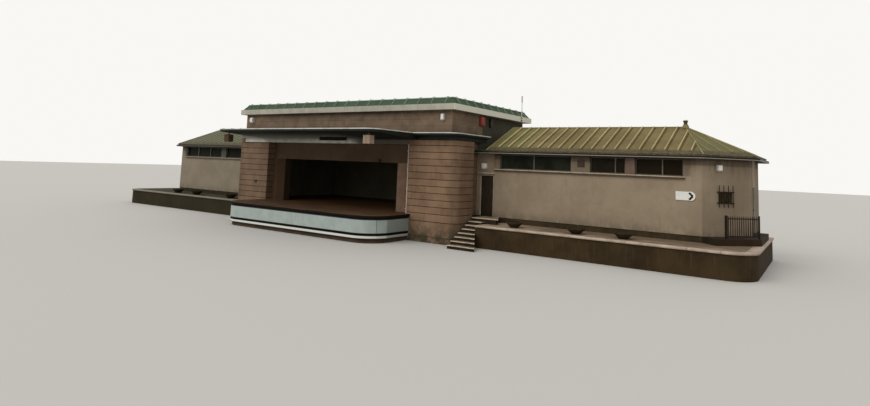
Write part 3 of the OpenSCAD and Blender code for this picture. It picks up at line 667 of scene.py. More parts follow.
def quiet_tint(f):
    """The rolls on the left roof are greyer, like its sheet."""
    f.coat(f.on_left(), 0.85, (102, 101, 85))


sheet_finish("wing_sheet", "olive_sheet", (109, 97, 61), (95, 84, 50), (77, 68, 38), foot=EAVES,
             over=wing_tint)
sheet_finish("copper_green", "green_copper", (58, 75, 60), (49, 65, 51), (36, 48, 38))
# painted highlight: the front rolls are painted much brighter than the sheet
sheet_finish("roll_sheet", "lit_olive_roll", (178, 163, 120), (160, 146, 104), (120, 108, 74))
# painted shadow for the strips beside the rolls
sheet_finish("roll_shade_strip", "roll_shade_paint", (80, 69, 40), (66, 57, 32), (52, 45, 24))
sheet_finish("quiet_roll", "quiet_roll", (126, 119, 82), (114, 107, 71), (92, 85, 54),
             over=quiet_tint)
sheet_finish("copper_roll", "pale_copper", (100, 120, 98), (82, 102, 82), (56, 74, 58))
# painted highlight: the caps are paler where they catch the light
sheet_finish("copper_cap", "lit_copper_cap", (152, 168, 146), (128, 146, 122), (84, 102, 84))
print("roof finishes made")


# %% Glass and dark linings
def glass_finish():
    """Window glass painted dark as the unlit rooms behind it, greener on the left, where it darkens towards the
    top, and browner on the right.
    """
    f = Finish("glass", "window_glass", 0.3, 0.03)
    # painted shade: the glass carries the dark of the rooms behind it
    f.base = f.mix(f.patches(0.8, 0.35, 0.65), (36, 40, 31), (24, 25, 18))
    f.coat(f.along_x(11.0, 17.0), 0.8, (32, 23, 10))
    f.coat(f.patches(0.25, 0.55, 0.8), 0.25, (46, 44, 30))
    lower = f.along_z(WINDOW_TOP, WINDOW_Z)
    left = f.mix(lower, (5, 7, 3), (27, 29, 19))
    f.base = f.mix(f.on_left(), f.base, left)
    f.wear()


def jamb_shade(f):
    """The left jamb reads darker than the right one, most beside the opening."""
    f.coat(f.along_x(1.0, -1.0), 0.8, (80, 61, 42))
    edge = f.both(f.along_x(-5.4, -4.85), f.along_x(0, -1))
    f.coat(edge, 0.6, (20, 14, 8))


paint_finish("jamb", "jamb_render", (124, 100, 85), (110, 88, 73), (74, 56, 44), roughness=0.9,
             sheen=0.05, over=jamb_shade)
glass_finish()
# painted shade: the hall's dark lining
paint_finish("lining", "shade_lining_paint", (84, 78, 62), (74, 68, 54), (56, 51, 41), roughness=0.9,
             patch=1.5)
paint_finish("alarm_red", "alarm_red", (146, 56, 36), (126, 46, 30), (76, 32, 22))
paint_finish("lens", "lamp_lens", (216, 214, 208), (204, 201, 194), (156, 150, 140),
             roughness=0.25, dirt_amount=0.2)
paint_finish("dim_pane", "dim_pane", (62, 54, 36), (40, 34, 21), (22, 17, 10), roughness=0.4,
             patch=0.2, dirt_amount=0.7, sheen=0.05)
paint_finish("pink_panel", "pink_panel", (104, 84, 72), (92, 72, 62), (66, 52, 44))
damp_finish("soil", "bowl_soil", (46, 38, 26), (28, 22, 15), (48, 52, 28))
print(len(FINISHES), "finishes in all")

# %% [markdown]
# ## Finishes on the CAD nodes
# The record names a material slot for each CAD node, so the finishes go on by that name.

# %% Dress the CAD nodes
for part in frame["record"]["subparts"]:
    mesh = NODES[part["node"]].data
    mesh.materials.clear()
    mesh.materials.append(FINISHES[part["material_slot"]])
DRESS = {"piers": "joint", "attic_wall": "joint", "block_back_wall": "side_render",
         "left_side_wall": "side_render", "right_side_wall": "side_render",
         "terraces": "terrace", "planter_bowls": "bowl", "sills": "sill",
         "right_link_jambs": "link_render", "left_link_wall": "link_render",
         "door_heads": "link_render", "jamb_walls": "jamb"}
for node, finish in DRESS.items():
    NODES[node].data.materials[0] = FINISHES[finish]
print(len(NODES), "CAD nodes dressed")

# %% [markdown]
# ## Helpers for new pieces
# A piece starts as vertices and faces, gets its finish, and rides on a body of the CAD model.
# Bodies here are the building and the two door leaves.

# %% Piece helpers
def piece(name, mesh, body="building", replaces=()):
    """A finished object at the origin that rides on a body."""
    obj = bpy.data.objects.new(name, mesh)
    scene.collection.objects.link(obj)
    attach(obj, body)
    if replaces:
        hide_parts(*replaces)
    print(f"{name}: {len(mesh.polygons)} faces on {body}")
    return obj


def box_mesh(bm, low, high):
    """Adds one box, given by two corners in real metres, to a bmesh."""
    for v in bmesh.ops.create_cube(bm, size=1)["verts"]:
        v.co = Vector([real(low[i] + (high[i] - low[i]) * (v.co[i] + 0.5)) for i in range(3)])


def bevelled(bm, width, segments):
    """Rounds every edge of what is in the bmesh by width, in real metres."""
    bmesh.ops.bevel(bm, geom=bm.edges[:], offset=real(width), segments=segments,
                    affect="EDGES", profile=0.5)


def close_mesh(bm, name, finish):
    """A mesh with a finish from a bmesh, with its faces turned outwards."""
    bmesh.ops.recalc_face_normals(bm, faces=bm.faces[:])
    mesh = bpy.data.meshes.new(name)
    bm.to_mesh(mesh)
    bm.free()
    mesh.materials.append(FINISHES[finish])
    return mesh


def boxes(name, corners, finish, soft=0.004, body="building"):
    """One piece made of several softened boxes."""
    bm = bmesh.new()
    for low, high in corners:
        box_mesh(bm, low, high)
    bevelled(bm, soft, 1)
    return piece(name, close_mesh(bm, name, finish), body)


def slab(bm, outline, low, high):
    """Adds an upright prism to a bmesh, from an outline on plan and two heights."""
    rings = [[bm.verts.new(real(x, y, z)) for x, y in outline] for z in (low, high)]
    bm.faces.new(rings[0][::-1])
    bm.faces.new(rings[1])
    for i in range(len(outline)):
        j = (i + 1) % len(outline)
        bm.faces.new((rings[0][i], rings[0][j], rings[1][j], rings[1][i]))


print("piece helpers ready")

# %% [markdown]
# ## Three Geometry Nodes tools
# Much of a building repeats: blocks in a course, rolls on a roof, bars in a window. Node
# trees of three kinds make all of those. The first raises loose patches of wall into closed
# blocks. The second sweeps a round or a flat-sided section along lines. The third puts a
# small ball on many points. Each tree's sizes are named inputs of its modifier. An array
# modifier could repeat a shape too, but only at even steps along one line.

# %% Node tree helpers
def new_tree(name, inputs):
    """A node tree for geometry with named inputs, and the outputs of its input node."""
    tree = bpy.data.node_groups.new(name, "GeometryNodeTree")
    face = tree.interface
    face.new_socket("Geometry", in_out="INPUT", socket_type="NodeSocketGeometry")
    for label, kind, value in inputs + [("Finish", "Material", None)]:
        socket = face.new_socket(label, in_out="INPUT", socket_type="NodeSocket" + kind)
        if value is not None:
            socket.default_value = value
    face.new_socket("Geometry", in_out="OUTPUT", socket_type="NodeSocketGeometry")
    return tree, add_node(tree, "NodeGroupInput", {})


def close_tree(tree, source, made):
    """Makes instances real, puts the finish on, and sends all to the tree's output."""
    whole = add_node(tree, "GeometryNodeRealizeInstances", {0: made})
    dressed = add_node(tree, "GeometryNodeSetMaterial",
                       {"Geometry": whole[0], "Material": source["Finish"]})
    add_node(tree, "NodeGroupOutput", {0: dressed[0]})
    return tree


def run_tree(name, mesh, tree, values, finish, replaces=()):
    """Runs a tree on a mesh and keeps the result as a plain piece."""
    maker = bpy.data.objects.new(name + "_maker", mesh)
    scene.collection.objects.link(maker)
    modifier = maker.modifiers.new("nodes", "NODES")
    modifier.node_group = tree
    values["Finish"] = FINISHES[finish]
    for item in tree.interface.items_tree:
        if item.item_type == "SOCKET" and item.in_out == "INPUT" and item.name in values:
            modifier[item.identifier] = values[item.name]
    graph = bpy.context.evaluated_depsgraph_get()
    made = bpy.data.meshes.new_from_object(maker.evaluated_get(graph))
    made.name = name
    bpy.data.objects.remove(maker)
    return piece(name, made, replaces=replaces)


def line_mesh(name, lines):
    """A mesh of loose edges from polylines in real metres."""
    points, edges = [], []
    for line in lines:
        start = len(points)
        points += [real(*p) for p in line]
        edges += [(start + i, start + i + 1) for i in range(len(line) - 1)]
    mesh = bpy.data.meshes.new(name)
    mesh.from_pydata(points, edges, [])
    return mesh


print("node tree helpers ready")

# %% Block tree
def block_tree():
    """Patches of wall, raised along their own normals and closed at the back."""
    tree, source = new_tree("raised_blocks", [("Thickness", "Float", 0.01)])
    tone = add_node(tree, "GeometryNodeInputNamedAttribute", {"Name": "tone"}, data_type="FLOAT")
    spread = add_node(tree, "ShaderNodeMapRange",
                      {"Value": tone[0], "To Min": 0.7, "To Max": 1.0})
    height = add_node(tree, "ShaderNodeMath", {0: spread[0], 1: source["Thickness"]},
                      operation="MULTIPLY")
    raised = add_node(tree, "GeometryNodeExtrudeMesh",
                      {"Mesh": source["Geometry"], "Offset Scale": height[0],
                       "Individual": False}, mode="FACES")
    back = add_node(tree, "GeometryNodeFlipFaces", {0: source["Geometry"]})
    both = add_node(tree, "GeometryNodeJoinGeometry", {0: [back[0], raised["Mesh"]]})
    weld = add_node(tree, "GeometryNodeMergeByDistance",
                    {"Geometry": both[0], "Distance": 0.00005})
    return close_tree(tree, source, weld[0])


BLOCKS = block_tree()
print("block tree", len(BLOCKS.nodes), "nodes")


# %% Sweep trees
def sweep_tree(name, round_section):
    """Lines swept with a section that is flat-sided or round, upright along Z."""
    tree, source = new_tree(name, [("Width", "Float", 0.02), ("Height", "Float", 0.02),
                                   ("Sides", "Int", 8)])
    width, height = source["Width"], source["Height"]
    if round_section:
        ring = add_node(tree, "GeometryNodeCurvePrimitiveCircle",
                        {"Radius": 0.5, "Resolution": source["Sides"]})
        size = add_node(tree, "ShaderNodeCombineXYZ", {"X": width, "Y": height, "Z": 1.0})
        section = add_node(tree, "GeometryNodeTransform",
                           {"Geometry": ring["Curve"], "Scale": size[0]})
    else:
        section = add_node(tree, "GeometryNodeCurvePrimitiveQuadrilateral",
                           {"Width": width, "Height": height})
    path = add_node(tree, "GeometryNodeMeshToCurve", {"Mesh": source["Geometry"]})
    stand = add_node(tree, "GeometryNodeSetCurveNormal", {"Curve": path[0]}, mode="Z_UP")
    sweep = add_node(tree, "GeometryNodeCurveToMesh",
                     {"Curve": stand[0], "Profile Curve": section[0], "Fill Caps": True})
    return close_tree(tree, source, sweep[0])


ROLLS = sweep_tree("swept_rolls", True)
BARS = sweep_tree("swept_bars", False)


def bars(name, lines, width, height, finish, tree=BARS, replaces=()):
    """A piece of flat-sided bars along lines, with sizes in real metres."""
    values = {"Width": real(width), "Height": real(height)}
    return run_tree(name, line_mesh(name, lines), tree, values, finish, replaces)


def rolls(name, lines, width, height, finish):
    """The same with a round section."""
    return bars(name, lines, width, height, finish, ROLLS)


print("sweep trees ready")

# %% [markdown]
# ## Stone courses
# The masons laid the piers in courses about a third of a metre high, with wide dark bed
# joints and fine upright ones. A wall here is a line on plan that turns round corners. It is
# cut into courses and each course into stones of uneven length. Every stone becomes a patch
# that follows the line, so a stone on the rounded corner is truly curved. The joints could be
# drawn in a finish instead, but raised stones catch the light at their edges.

# %% Course maker
def along(path):
    """Distances along a polyline, and a function that gives the point at a distance."""
    points = [Vector(p) for p in path]
    lengths = [0.0]
    for a, b in zip(points, points[1:]):
        lengths.append(lengths[-1] + (b - a).length)

    def at(s):
        for i in range(len(points) - 1):
            if s <= lengths[i + 1] + 1e-9:
                part = (s - lengths[i]) / max(lengths[i + 1] - lengths[i], 1e-9)
                return points[i].lerp(points[i + 1], min(max(part, 0), 1))
        return points[-1]
    return lengths, at


def courses(name, walls, levels, finish, seed, stone, bed, perpend, thick):
    """Stones between the levels on each wall line. stone is the shortest and the longest."""
    rng = random.Random(seed)
    points, faces, tones = [], [], []
    for wall in walls:
        lengths, at = along(wall)
        total = lengths[-1]
        for row, (low, high) in enumerate(zip(levels, levels[1:])):
            s = 0.0
            first = True
            while s < total - 0.05:
                size = rng.uniform(*stone) * (0.55 if first and row % 2 else 1)
                first = False
                end = s + size if total - s - size > stone[0] * 0.5 else total
                a, b = s + perpend / 2, end - perpend / 2
                stops = [a] + [v for v in lengths if a + 0.01 < v < b - 0.01] + [b]
                start, tone = len(points), rng.random()
                for v in stops:
                    p = at(v)
                    points += [real(p.x, p.y, low + bed / 2), real(p.x, p.y, high - bed / 2)]
                faces += [(start + 2 * i, start + 2 * i + 2, start + 2 * i + 3,
                           start + 2 * i + 1) for i in range(len(stops) - 1)]
                tones += [tone] * (2 * len(stops))
                s = end
    mesh = bpy.data.meshes.new(name)
    mesh.from_pydata(points, [], faces)
    mesh.attributes.new("tone", "FLOAT", "POINT").data.foreach_set("value", tones)
    return run_tree(name, mesh, BLOCKS, {"Thickness": real(thick)}, finish)


def arc(cx, cy, radius, start, end, steps=10):
    """Points on an arc, angles in degrees."""
    turn = [math.radians(start + (end - start) * i / steps) for i in range(steps + 1)]
    return [(cx + radius * math.cos(a), cy + radius * math.sin(a)) for a in turn]


def flipped(path):
    """The mirror image of a plan line, turned round so that it faces outwards still."""
    return [(-x, y) for x, y in reversed(path)]


print("course maker ready")

# %% Pier stones
PIER_IN = real_box("lintel_beam")[1].x
PIER_D = pier_high.y
CORNER = 0.45
FOOT_OUT = 0.04
JAMB_Y = real_box("jamb_walls")[0].y


def pier_line(out):
    """The right pier's outline on plan from the opening round to the side, moved out by out."""
    edge = PIER_OUT + out
    r = CORNER + out
    return ([(PIER_IN, JAMB_Y), (PIER_IN, -out)]
            + arc(edge - r, r - out, r, -90, 0) + [(edge, PIER_D)])


foot_lines = [pier_line(FOOT_OUT), flipped(pier_line(FOOT_OUT))]
shaft_lines = [pier_line(0), flipped(pier_line(0))]
COURSE = 0.335
courses("pier_foot_stones", foot_lines, [0, 0.28, 1.0], "stone", 11,
        stone=(1.3, 2.2), bed=0.026, perpend=0.005, thick=0.016)
shaft = [1.0, 1.38] + [1.38 + COURSE * k for k in range(1, 11)] + [PIER_TOP]
courses("pier_stones", shaft_lines, shaft, "stone", 5,
        stone=(1.1, 2.0), bed=0.03, perpend=0.005, thick=0.018)

# %% Attic and side stones
RETURN_Y = 3.12
attic_line = [(-HALF, RETURN_Y), (-HALF, ATTIC_Y), (HALF, ATTIC_Y), (HALF, RETURN_Y)]
attic_rows = [CANOPY_TOP + 0.01, 5.72, 6.06, 6.40, BLOCK_TOP]
courses("attic_stones", [attic_line], attic_rows, "attic_stone", 21,
        stone=(3.4, 5.6), bed=0.010, perpend=0.002, thick=0.010)
LINK_Y = real_box("right_link_jambs")[0].y
side_line = [(HALF, PIER_D + 0.01), (HALF, LINK_Y)]
side_rows = [FLOOR, 1.38] + shaft[2:]
courses("side_stones", [side_line, flipped(side_line)], side_rows, "stone", 31,
        stone=(0.9, 1.5), bed=0.024, perpend=0.005, thick=0.012)

# %% [markdown]
# ## Wing roofs
# The sheets of a wing roof are joined by rolls that run up each slope, about half a metre
# apart, and stop a little above the eaves. The roof is a hipped shape with a canted corner,
# so its height at any point is the lowest of four sloping planes. That rule also says how
# far up a roll can run before it meets a hip, and gives the hip lines themselves.

# %% Roof planes
roof_low, roof_high = real_box("right_wing_roof")
OVERHANG = WING_Y - roof_low.y
wing_back = real_box("right_rear_walls")[1].y
APEX_Y = (WING_Y + wing_back) / 2
HALF_DEPTH = (wing_back - WING_Y) / 2
APEX_X = roof_high.x - OVERHANG - HALF_DEPTH
RIM = HALF_DEPTH + OVERHANG
RIDGE = 5.98
RIM_TOP = roof_low.z + 0.13
SLOPE = (RIDGE - RIM_TOP) / RIM
VERGE = roof_low.x
DIRECTIONS = {"front": (0, -1), "cant": (math.sqrt(0.5), -math.sqrt(0.5)), "end": (1, 0),
              "back": (0, 1)}


def reach(direction, x, y):
    """How far a point lies from the apex in the direction that one plane falls."""
    nx, ny = DIRECTIONS[direction]
    away = max(x - APEX_X, 0) if nx == 0 else x - APEX_X
    return nx * away + ny * (y - APEX_Y)


def slope_line(direction, offset, stop, lift):
    """A line up one plane at a sideways offset, from near the rim to a hip or the ridge."""
    nx, ny = DIRECTIONS[direction]
    tx, ty = -ny, nx
    found = []
    steps = 240
    for i in range(steps + 1):
        d = (RIM - stop) * (1 - i / steps)
        x, y = APEX_X + nx * d + tx * offset, APEX_Y + ny * d + ty * offset
        if x < VERGE + 0.02 or max(reach(k, x, y) for k in DIRECTIONS) > d + 1e-6:
            break
        found.append((x, y, RIDGE - SLOPE * d + lift))
    return [found[0], found[-1]] if len(found) > 8 else None


print("slope", round(SLOPE, 4), "apex", round(APEX_X, 3), round(APEX_Y, 3))

# %% Roof rolls
SEAM = 0.535
SEAM_STOP = 0.34
A_SEAM_X = 14.50
seams = {"plain": [], "hipped": []}
for direction in DIRECTIONS:
    if direction in ("front", "back"):
        sign = 1 if direction == "front" else -1
        offsets = [sign * (x - APEX_X) for x in np.arange(A_SEAM_X - 11 * SEAM, 19.6, SEAM)]
        kind = "plain"
    else:
        offsets = np.arange(-3.1, 3.1, SEAM) + SEAM / 2
        kind = "hipped"
    for offset in offsets:
        line = slope_line(direction, offset, SEAM_STOP, 0.012)
        if line:
            seams[kind].append(line)


def mirrored(lines):
    """The same lines on the other wing."""
    return [[(-x, y, z) for x, y, z in line] for line in lines]


# painted highlight on the front rolls, which catch the light
rolls("wing_roof_rolls", seams["plain"], 0.052, 0.12, "roll_sheet")
# painted shadow: a dark strip beside each roll, on the side away from the light
roll_shade_lines = [[(x + 0.085, y, z - 0.008) for x, y, z in line] for line in seams["plain"]]
bars("roll_shade_strips", roll_shade_lines, 0.06, 0.012, "roll_shade_strip")
rolls("quiet_roof_rolls", seams["hipped"] + mirrored(seams["plain"] + seams["hipped"]), 0.05,
      0.07, "quiet_roll")

# %% Ridge, hips and the ridge cowl
T22 = math.tan(math.radians(22.5))
rim_corners = [(APEX_X + RIM * T22, APEX_Y - RIM), (APEX_X + RIM, APEX_Y - RIM * T22),
               (APEX_X + RIM, APEX_Y + RIM)]
hip_lines = [[(APEX_X, APEX_Y, RIDGE + 0.01), (x, y, RIM_TOP + 0.01)] for x, y in rim_corners]
hip_lines.append([(VERGE, APEX_Y, RIDGE + 0.01), (APEX_X, APEX_Y, RIDGE + 0.01)])
rolls("hip_and_ridge_rolls", hip_lines + mirrored(hip_lines), 0.06, 0.05, "quiet_roll")
verge_lines = [[(VERGE + 0.02, APEX_Y, RIDGE), (VERGE + 0.02, APEX_Y + s * RIM, RIM_TOP)]
               for s in (-1, 1)]
bars("verge_flashings", verge_lines + mirrored(verge_lines), 0.06, 0.05, "quiet_roll")
bm = bmesh.new()
cowl_place = Matrix.Translation(real(APEX_X, APEX_Y, RIDGE + 0.04))
bmesh.ops.create_cone(bm, cap_ends=True, segments=24, radius1=real(0.17), radius2=real(0.115),
                      depth=real(0.16), matrix=cowl_place)
bevelled(bm, 0.004, 1)
piece("cowl_flashing", close_mesh(bm, "cowl_flashing", "quiet_roll"))

# %% [markdown]
# ## Main roof
# The stage block carries a low copper roof behind its fascia. A steep skirt rises first.
# Rolls come down the flatter part and over the skirt, with a rounded cap on each where the
# slope changes. From the ground those caps read as a scalloped line. One function lays the
# rolls of all four slopes, so the two pairs cannot differ.

# %% Main roof rolls
main_low, main_high = real_box("main_roof")
SKIRT_H, SKIRT_IN = 0.33, 0.25
EDGE_X = main_high.x
MID_Y = (main_low.y + main_high.y) / 2
EDGE_Y = main_high.y - MID_Y
SKIRT_Z = main_low.z
KNEE_X, KNEE_Y, KNEE_Z = EDGE_X - SKIRT_IN, EDGE_Y - SKIRT_IN, SKIRT_Z + SKIRT_H
CREST = main_high.z
PITCH_STEP = 0.8
END_GAP = 0.55
copper_lines = []
cap_spots = []


def top_height(x, y):
    """Height of the flatter part of the main roof at a distance from its middle."""
    return KNEE_Z + (CREST - KNEE_Z) * min((KNEE_X - abs(x)) / KNEE_X, (KNEE_Y - abs(y)) / KNEE_Y)


def skirt_rolls(edge, knee, other_edge, other_knee, swap):
    """Rolls down two opposite slopes, spread along one axis. swap turns the axes round."""
    count = int(2 * (edge - 0.5) / PITCH_STEP)
    for k in range(count + 1):
        place = (edge - END_GAP) * (2 * k / count - 1)
        inner = max(abs(place) / knee * other_knee, 0.02)
        for s in (-1, 1):
            spots = []
            for away in (other_edge, other_knee, inner):
                x, y = (s * away, place) if swap else (place, s * away)
                z = SKIRT_Z if away == other_edge else top_height(x, y)
                spots.append((x, MID_Y + y, z + 0.01))
            copper_lines.extend([spots[:2], spots[1:]])
            cap_spots.append(spots[1])


skirt_rolls(EDGE_X, KNEE_X, EDGE_Y, KNEE_Y, False)
skirt_rolls(EDGE_Y, KNEE_Y, EDGE_X, KNEE_X, True)
rolls("main_roof_rolls", copper_lines, 0.07, 0.09, "copper_roll")
knee_corners = [(sx * KNEE_X, MID_Y + sy * KNEE_Y, KNEE_Z + 0.005)
                for sx, sy in SQUARE + SQUARE[:1]]
rolls("knee_rolls", zip(knee_corners, knee_corners[1:]), 0.07, 0.05, "copper_cap")

# %% [markdown]
# ## Small shapes on many points
# Roll caps, clods of soil and the caps of posts are the same small shape over and over. The
# third tree puts a flattened ball on each point of a mesh, which keeps their size in one
# place.

# %% Dome tree
def dome_tree():
    """A flattened ball on every point of a mesh."""
    tree, source = new_tree("domes_on_points", [("Radius", "Float", 0.02),
                                                ("Flatness", "Float", 1.0)])
    ball = add_node(tree, "GeometryNodeMeshIcoSphere",
                    {"Radius": source["Radius"], "Subdivisions": 2})
    size = add_node(tree, "ShaderNodeCombineXYZ", {"X": 1.0, "Y": 1.0, "Z": source["Flatness"]})
    squash = add_node(tree, "GeometryNodeTransform",
                      {"Geometry": ball["Mesh"], "Scale": size[0]})
    place = add_node(tree, "GeometryNodeInstanceOnPoints",
                     {"Points": source["Geometry"], "Instance": squash[0]})
    return close_tree(tree, source, place[0])


DOMES = dome_tree()


def domes(name, spots, radius, flatness, finish):
    """A piece of flattened balls at points in real metres."""
    mesh = bpy.data.meshes.new(name)
    mesh.from_pydata([real(*p) for p in spots], [], [])
    values = {"Radius": real(radius), "Flatness": flatness}
    return run_tree(name, mesh, DOMES, values, finish)


domes("copper_roll_caps", cap_spots, 0.08, 0.8, "copper_cap")
domes("cowl_cap", [(APEX_X, APEX_Y, roof_high.z + 0.01)], 0.08, 0.8, "lens")

# %% [markdown]
# ## Windows
# Each window is one sheet of glass in CAD. The real ones look like metal casements, so a
# frame runs round every opening, with upright bars where two casements meet. The frames are
# thin and grey against dark glass. They are lines swept with one section, which keeps all bars
# of a kind equally wide, where boxes would each need six numbers.

# %% Window frames
RIGHT_SPANS = [(9.26, 13.0), (13.91, 15.51), (15.94, 17.92)]
LEFT_SPANS = [(-13.15, -9.26), (-17.98, -13.69)]
MULLIONS = [11.09, 15.06, 17.08, -11.2, -15.1, -16.6]
FRAME_W = 0.045
frame_lines, mullion_lines = [], []
for face_y in (WING_Y + 0.10, wing_back - 0.10):
    for a, b in RIGHT_SPANS + LEFT_SPANS:
        za, zb = WINDOW_Z + FRAME_W / 2, WINDOW_TOP - FRAME_W / 2
        for z in (za, zb):
            frame_lines.append([(a, face_y, z), (b, face_y, z)])
        for x in (a + FRAME_W / 2, b - FRAME_W / 2):
            frame_lines.append([(x, face_y, za), (x, face_y, zb)])
    for x in MULLIONS:
        mullion_lines.append([(x, face_y, WINDOW_Z), (x, face_y, WINDOW_TOP)])
paint_finish("mullion", "mullion_paint", (96, 92, 80), (82, 78, 68), (50, 46, 38), roughness=0.5)
bars("window_frames", frame_lines, FRAME_W, FRAME_W, "frame_paint")
bars("window_mullions", mullion_lines, 0.06, 0.05, "mullion")

# %% Vent and panels between the windows
VENT_X, VENT_Z = 13.49, 4.11
paint_finish("vent", "vent_paint", (74, 56, 46), (60, 45, 37), (38, 28, 22))
slats = [((VENT_X - 0.16, WING_Y - 0.03, VENT_Z - 0.155 + 0.045 * k),
          (VENT_X + 0.16, WING_Y - 0.008, VENT_Z - 0.133 + 0.045 * k)) for k in range(7)]
boxes("vent_slats", slats, "vent", soft=0.003)
vent_edge = ((VENT_X - 0.18, WING_Y - 0.012, VENT_Z - 0.18),
             (VENT_X + 0.18, WING_Y, VENT_Z + 0.18))
boxes("vent_frame", [vent_edge], "vent", soft=0.003)
between = ((RIGHT_SPANS[1][1] + 0.01, WING_Y - 0.018, WINDOW_Z + 0.01),
           (RIGHT_SPANS[2][0] - 0.01, WING_Y, WINDOW_TOP - 0.01))
boxes("pink_panel", [between], "pink_panel")

# %% [markdown]
# ## Copings and treads
# A coping is laid in lengths of a little over a metre, which follow the wall round its corner.
# The bars tree sweeps each length along the wall's own line, so the joints are real gaps. The
# CAD coping is the same band in one piece, and these stones stand for it. The treads are thin
# slabs with a small nosing, which makes the bright lines of the flight.

# %% Coping stones
coping_low, coping_high = real_box("copings")
COPING_H = coping_high.z - coping_low.z
TERRACE_FRONT = terrace_low.y
RIGHT_END, LEFT_END = terrace_high.x, -terrace_low.x
TERRACE_START = 9.22
TERRACE_BACK = terrace_high.y
TERRACE_R = 1.0
COPING_OUT, COPING_IN = 0.06, 0.35
MIDLINE = (COPING_IN - COPING_OUT) / 2


def coping_line(start, end):
    """The middle of a coping on plan: along the front, round the corner and to the back."""
    r = TERRACE_R - MIDLINE
    return ([(start, TERRACE_FRONT + MIDLINE)]
            + arc(end - TERRACE_R, TERRACE_FRONT + TERRACE_R, r, -90, 0, 12)
            + [(end - MIDLINE, TERRACE_BACK)])


def cut_lengths(path, length, joint, z):
    """A path cut into equal lengths near the given one, with a joint between them."""
    lengths, at = along(path)
    count = max(round(lengths[-1] / length), 1)
    step = lengths[-1] / count
    cut = []
    for k in range(count):
        a, b = k * step + joint / 2, (k + 1) * step - joint / 2
        stops = [a] + [v for v in lengths if a + 0.01 < v < b - 0.01] + [b]
        cut.append([(at(v).x, at(v).y, z) for v in stops])
    return cut


coping_z = TERRACE_Z - COPING_H / 2
right_line = coping_line(TERRACE_START, RIGHT_END)
left_line = flipped(coping_line(PIER_OUT + FOOT_OUT, LEFT_END))
STONE_LENGTH, STONE_JOINT = 1.15, 0.012
coping_parts = cut_lengths(right_line, STONE_LENGTH, STONE_JOINT, coping_z)
coping_parts += cut_lengths(left_line, STONE_LENGTH, STONE_JOINT, coping_z)
bars("coping_stones", coping_parts, COPING_IN + COPING_OUT, COPING_H, "coping",
     replaces=["copings"])

# %% Step treads
steps_low, steps_high = real_box("right_steps")
RISERS = 8
RISE = FLOOR / RISERS
GOING = 0.315
NOSE = 0.02
TREAD = 0.035
FIRST_NOSE = steps_low.y
FLIGHT_X = 8.5
LONG_STEPS = 4
FLARE = 0.182
FLIGHT_END = -(PIER_OUT + FOOT_OUT)
bm = bmesh.new()
nosings = []
for k in range(1, RISERS + 1):
    y, z = FIRST_NOSE + GOING * (k - 1), RISE * k
    right, back = TERRACE_START, y + GOING + 0.02
    far = right
    if k <= LONG_STEPS:
        right, back = TERRACE_START + FLARE * (LONG_STEPS + 1 - k), TERRACE_FRONT
    if k == RISERS:
        right, back = steps_high.x - 0.014, WING_Y
        far = TERRACE_START + 0.04
    slab(bm, [(FLIGHT_X - 0.006, y - NOSE), (right + 0.01, y - NOSE), (far + 0.008, back),
              (FLIGHT_X - 0.006, back)], z - TREAD, z + 0.006)
    nosings.append([(x, y - NOSE - 0.004, z + 0.006 - TREAD / 2)
                    for x in (FLIGHT_X - 0.006, right + 0.01)])
piece("step_treads", close_mesh(bm, "step_treads", "tread"))
bars("step_nosings", nosings, 0.014, TREAD + 0.004, "nosing")
middle_z = (TERRACE_Z + FLOOR) / 2
left_top = [((-TERRACE_START, 1.255 - NOSE, FLOOR - TREAD),
             (FLIGHT_END - 0.004, WING_Y, FLOOR + 0.006)),
            ((-TERRACE_START, 0.94 - NOSE, middle_z - TREAD),
             (FLIGHT_END - 0.004, 1.27, middle_z + 0.006))]
boxes("left_treads", left_top, "tread", soft=0.008)
print("rise", round(RISE, 4), "first nose", round(FIRST_NOSE, 3))

# %% [markdown]
# ## Doors
# The two doors are plain boarded leaves with a vent of slats at the foot. The boards and slats
# are thin, so they are laid on the CAD leaf and ride on its body, and they swing with it. The
# frames belong to the building and stay in front of the leaves, clear of their swing.

# %% Door boards
link_low, link_high = real_box("link_door")
end_high = real_box("end_door")[1]
LEAF_Z = link_low.z
LEAF_H = link_high.z - link_low.z
LEAF_T = 0.05
LINK_HINGE, END_HINGE = [Vector(joint["pos_m"]) / SCALE for joint in frame["joints"]]
RIGHT, BACK, UP = Vector((1, 0, 0)), Vector((0, 1, 0)), Vector((0, 0, 1))
BOARDS = 6
BOARD_GAP = 0.008


def door_boards(name, body, corner, across, out, width):
    """Boards, slats and a rail on the outer face of a leaf, in its own width and height."""
    board = (width - 0.04 - BOARD_GAP * (BOARDS - 1)) / BOARDS
    shapes = [(0.02 + k * (board + BOARD_GAP), 0.36, board, LEAF_H - 0.40, 0.012)
              for k in range(BOARDS)]
    shapes += [(0.05, 0.06 + 0.05 * k, width - 0.10, 0.03, 0.018) for k in range(5)]
    shapes.append((0.01, 0.02, width - 0.02, 0.03, 0.012))
    parts = []
    for a, z, w, h, depth in shapes:
        p = corner + across * a + UP * z
        q = corner + across * (a + w) + out * depth + UP * (z + h)
        parts.append(([min(pair) for pair in zip(p, q)], [max(pair) for pair in zip(p, q)]))
    boxes(name, parts, "door", soft=0.003, body=body)


link_corner = Vector((LINK_HINGE.x, LINK_HINGE.y - LEAF_T, LEAF_Z))
end_corner = Vector((END_HINGE.x + LEAF_T, END_HINGE.y, LEAF_Z))
door_boards("link_door_boards", "link_leaf", link_corner, RIGHT, -BACK,
            link_high.x - LINK_HINGE.x)
door_boards("end_door_boards", "end_leaf", end_corner, BACK, RIGHT, end_high.y - END_HINGE.y)

# %% Door frames and hoods
DOOR_W, DOOR_TOP = 0.8, 3.38
END_DOOR_W = 1.0
JAMB_W = 0.045
DOOR_X = LINK_HINGE.x - 0.016
END_X = APEX_X + HALF_DEPTH
END_Y = END_HINGE.y - 0.016


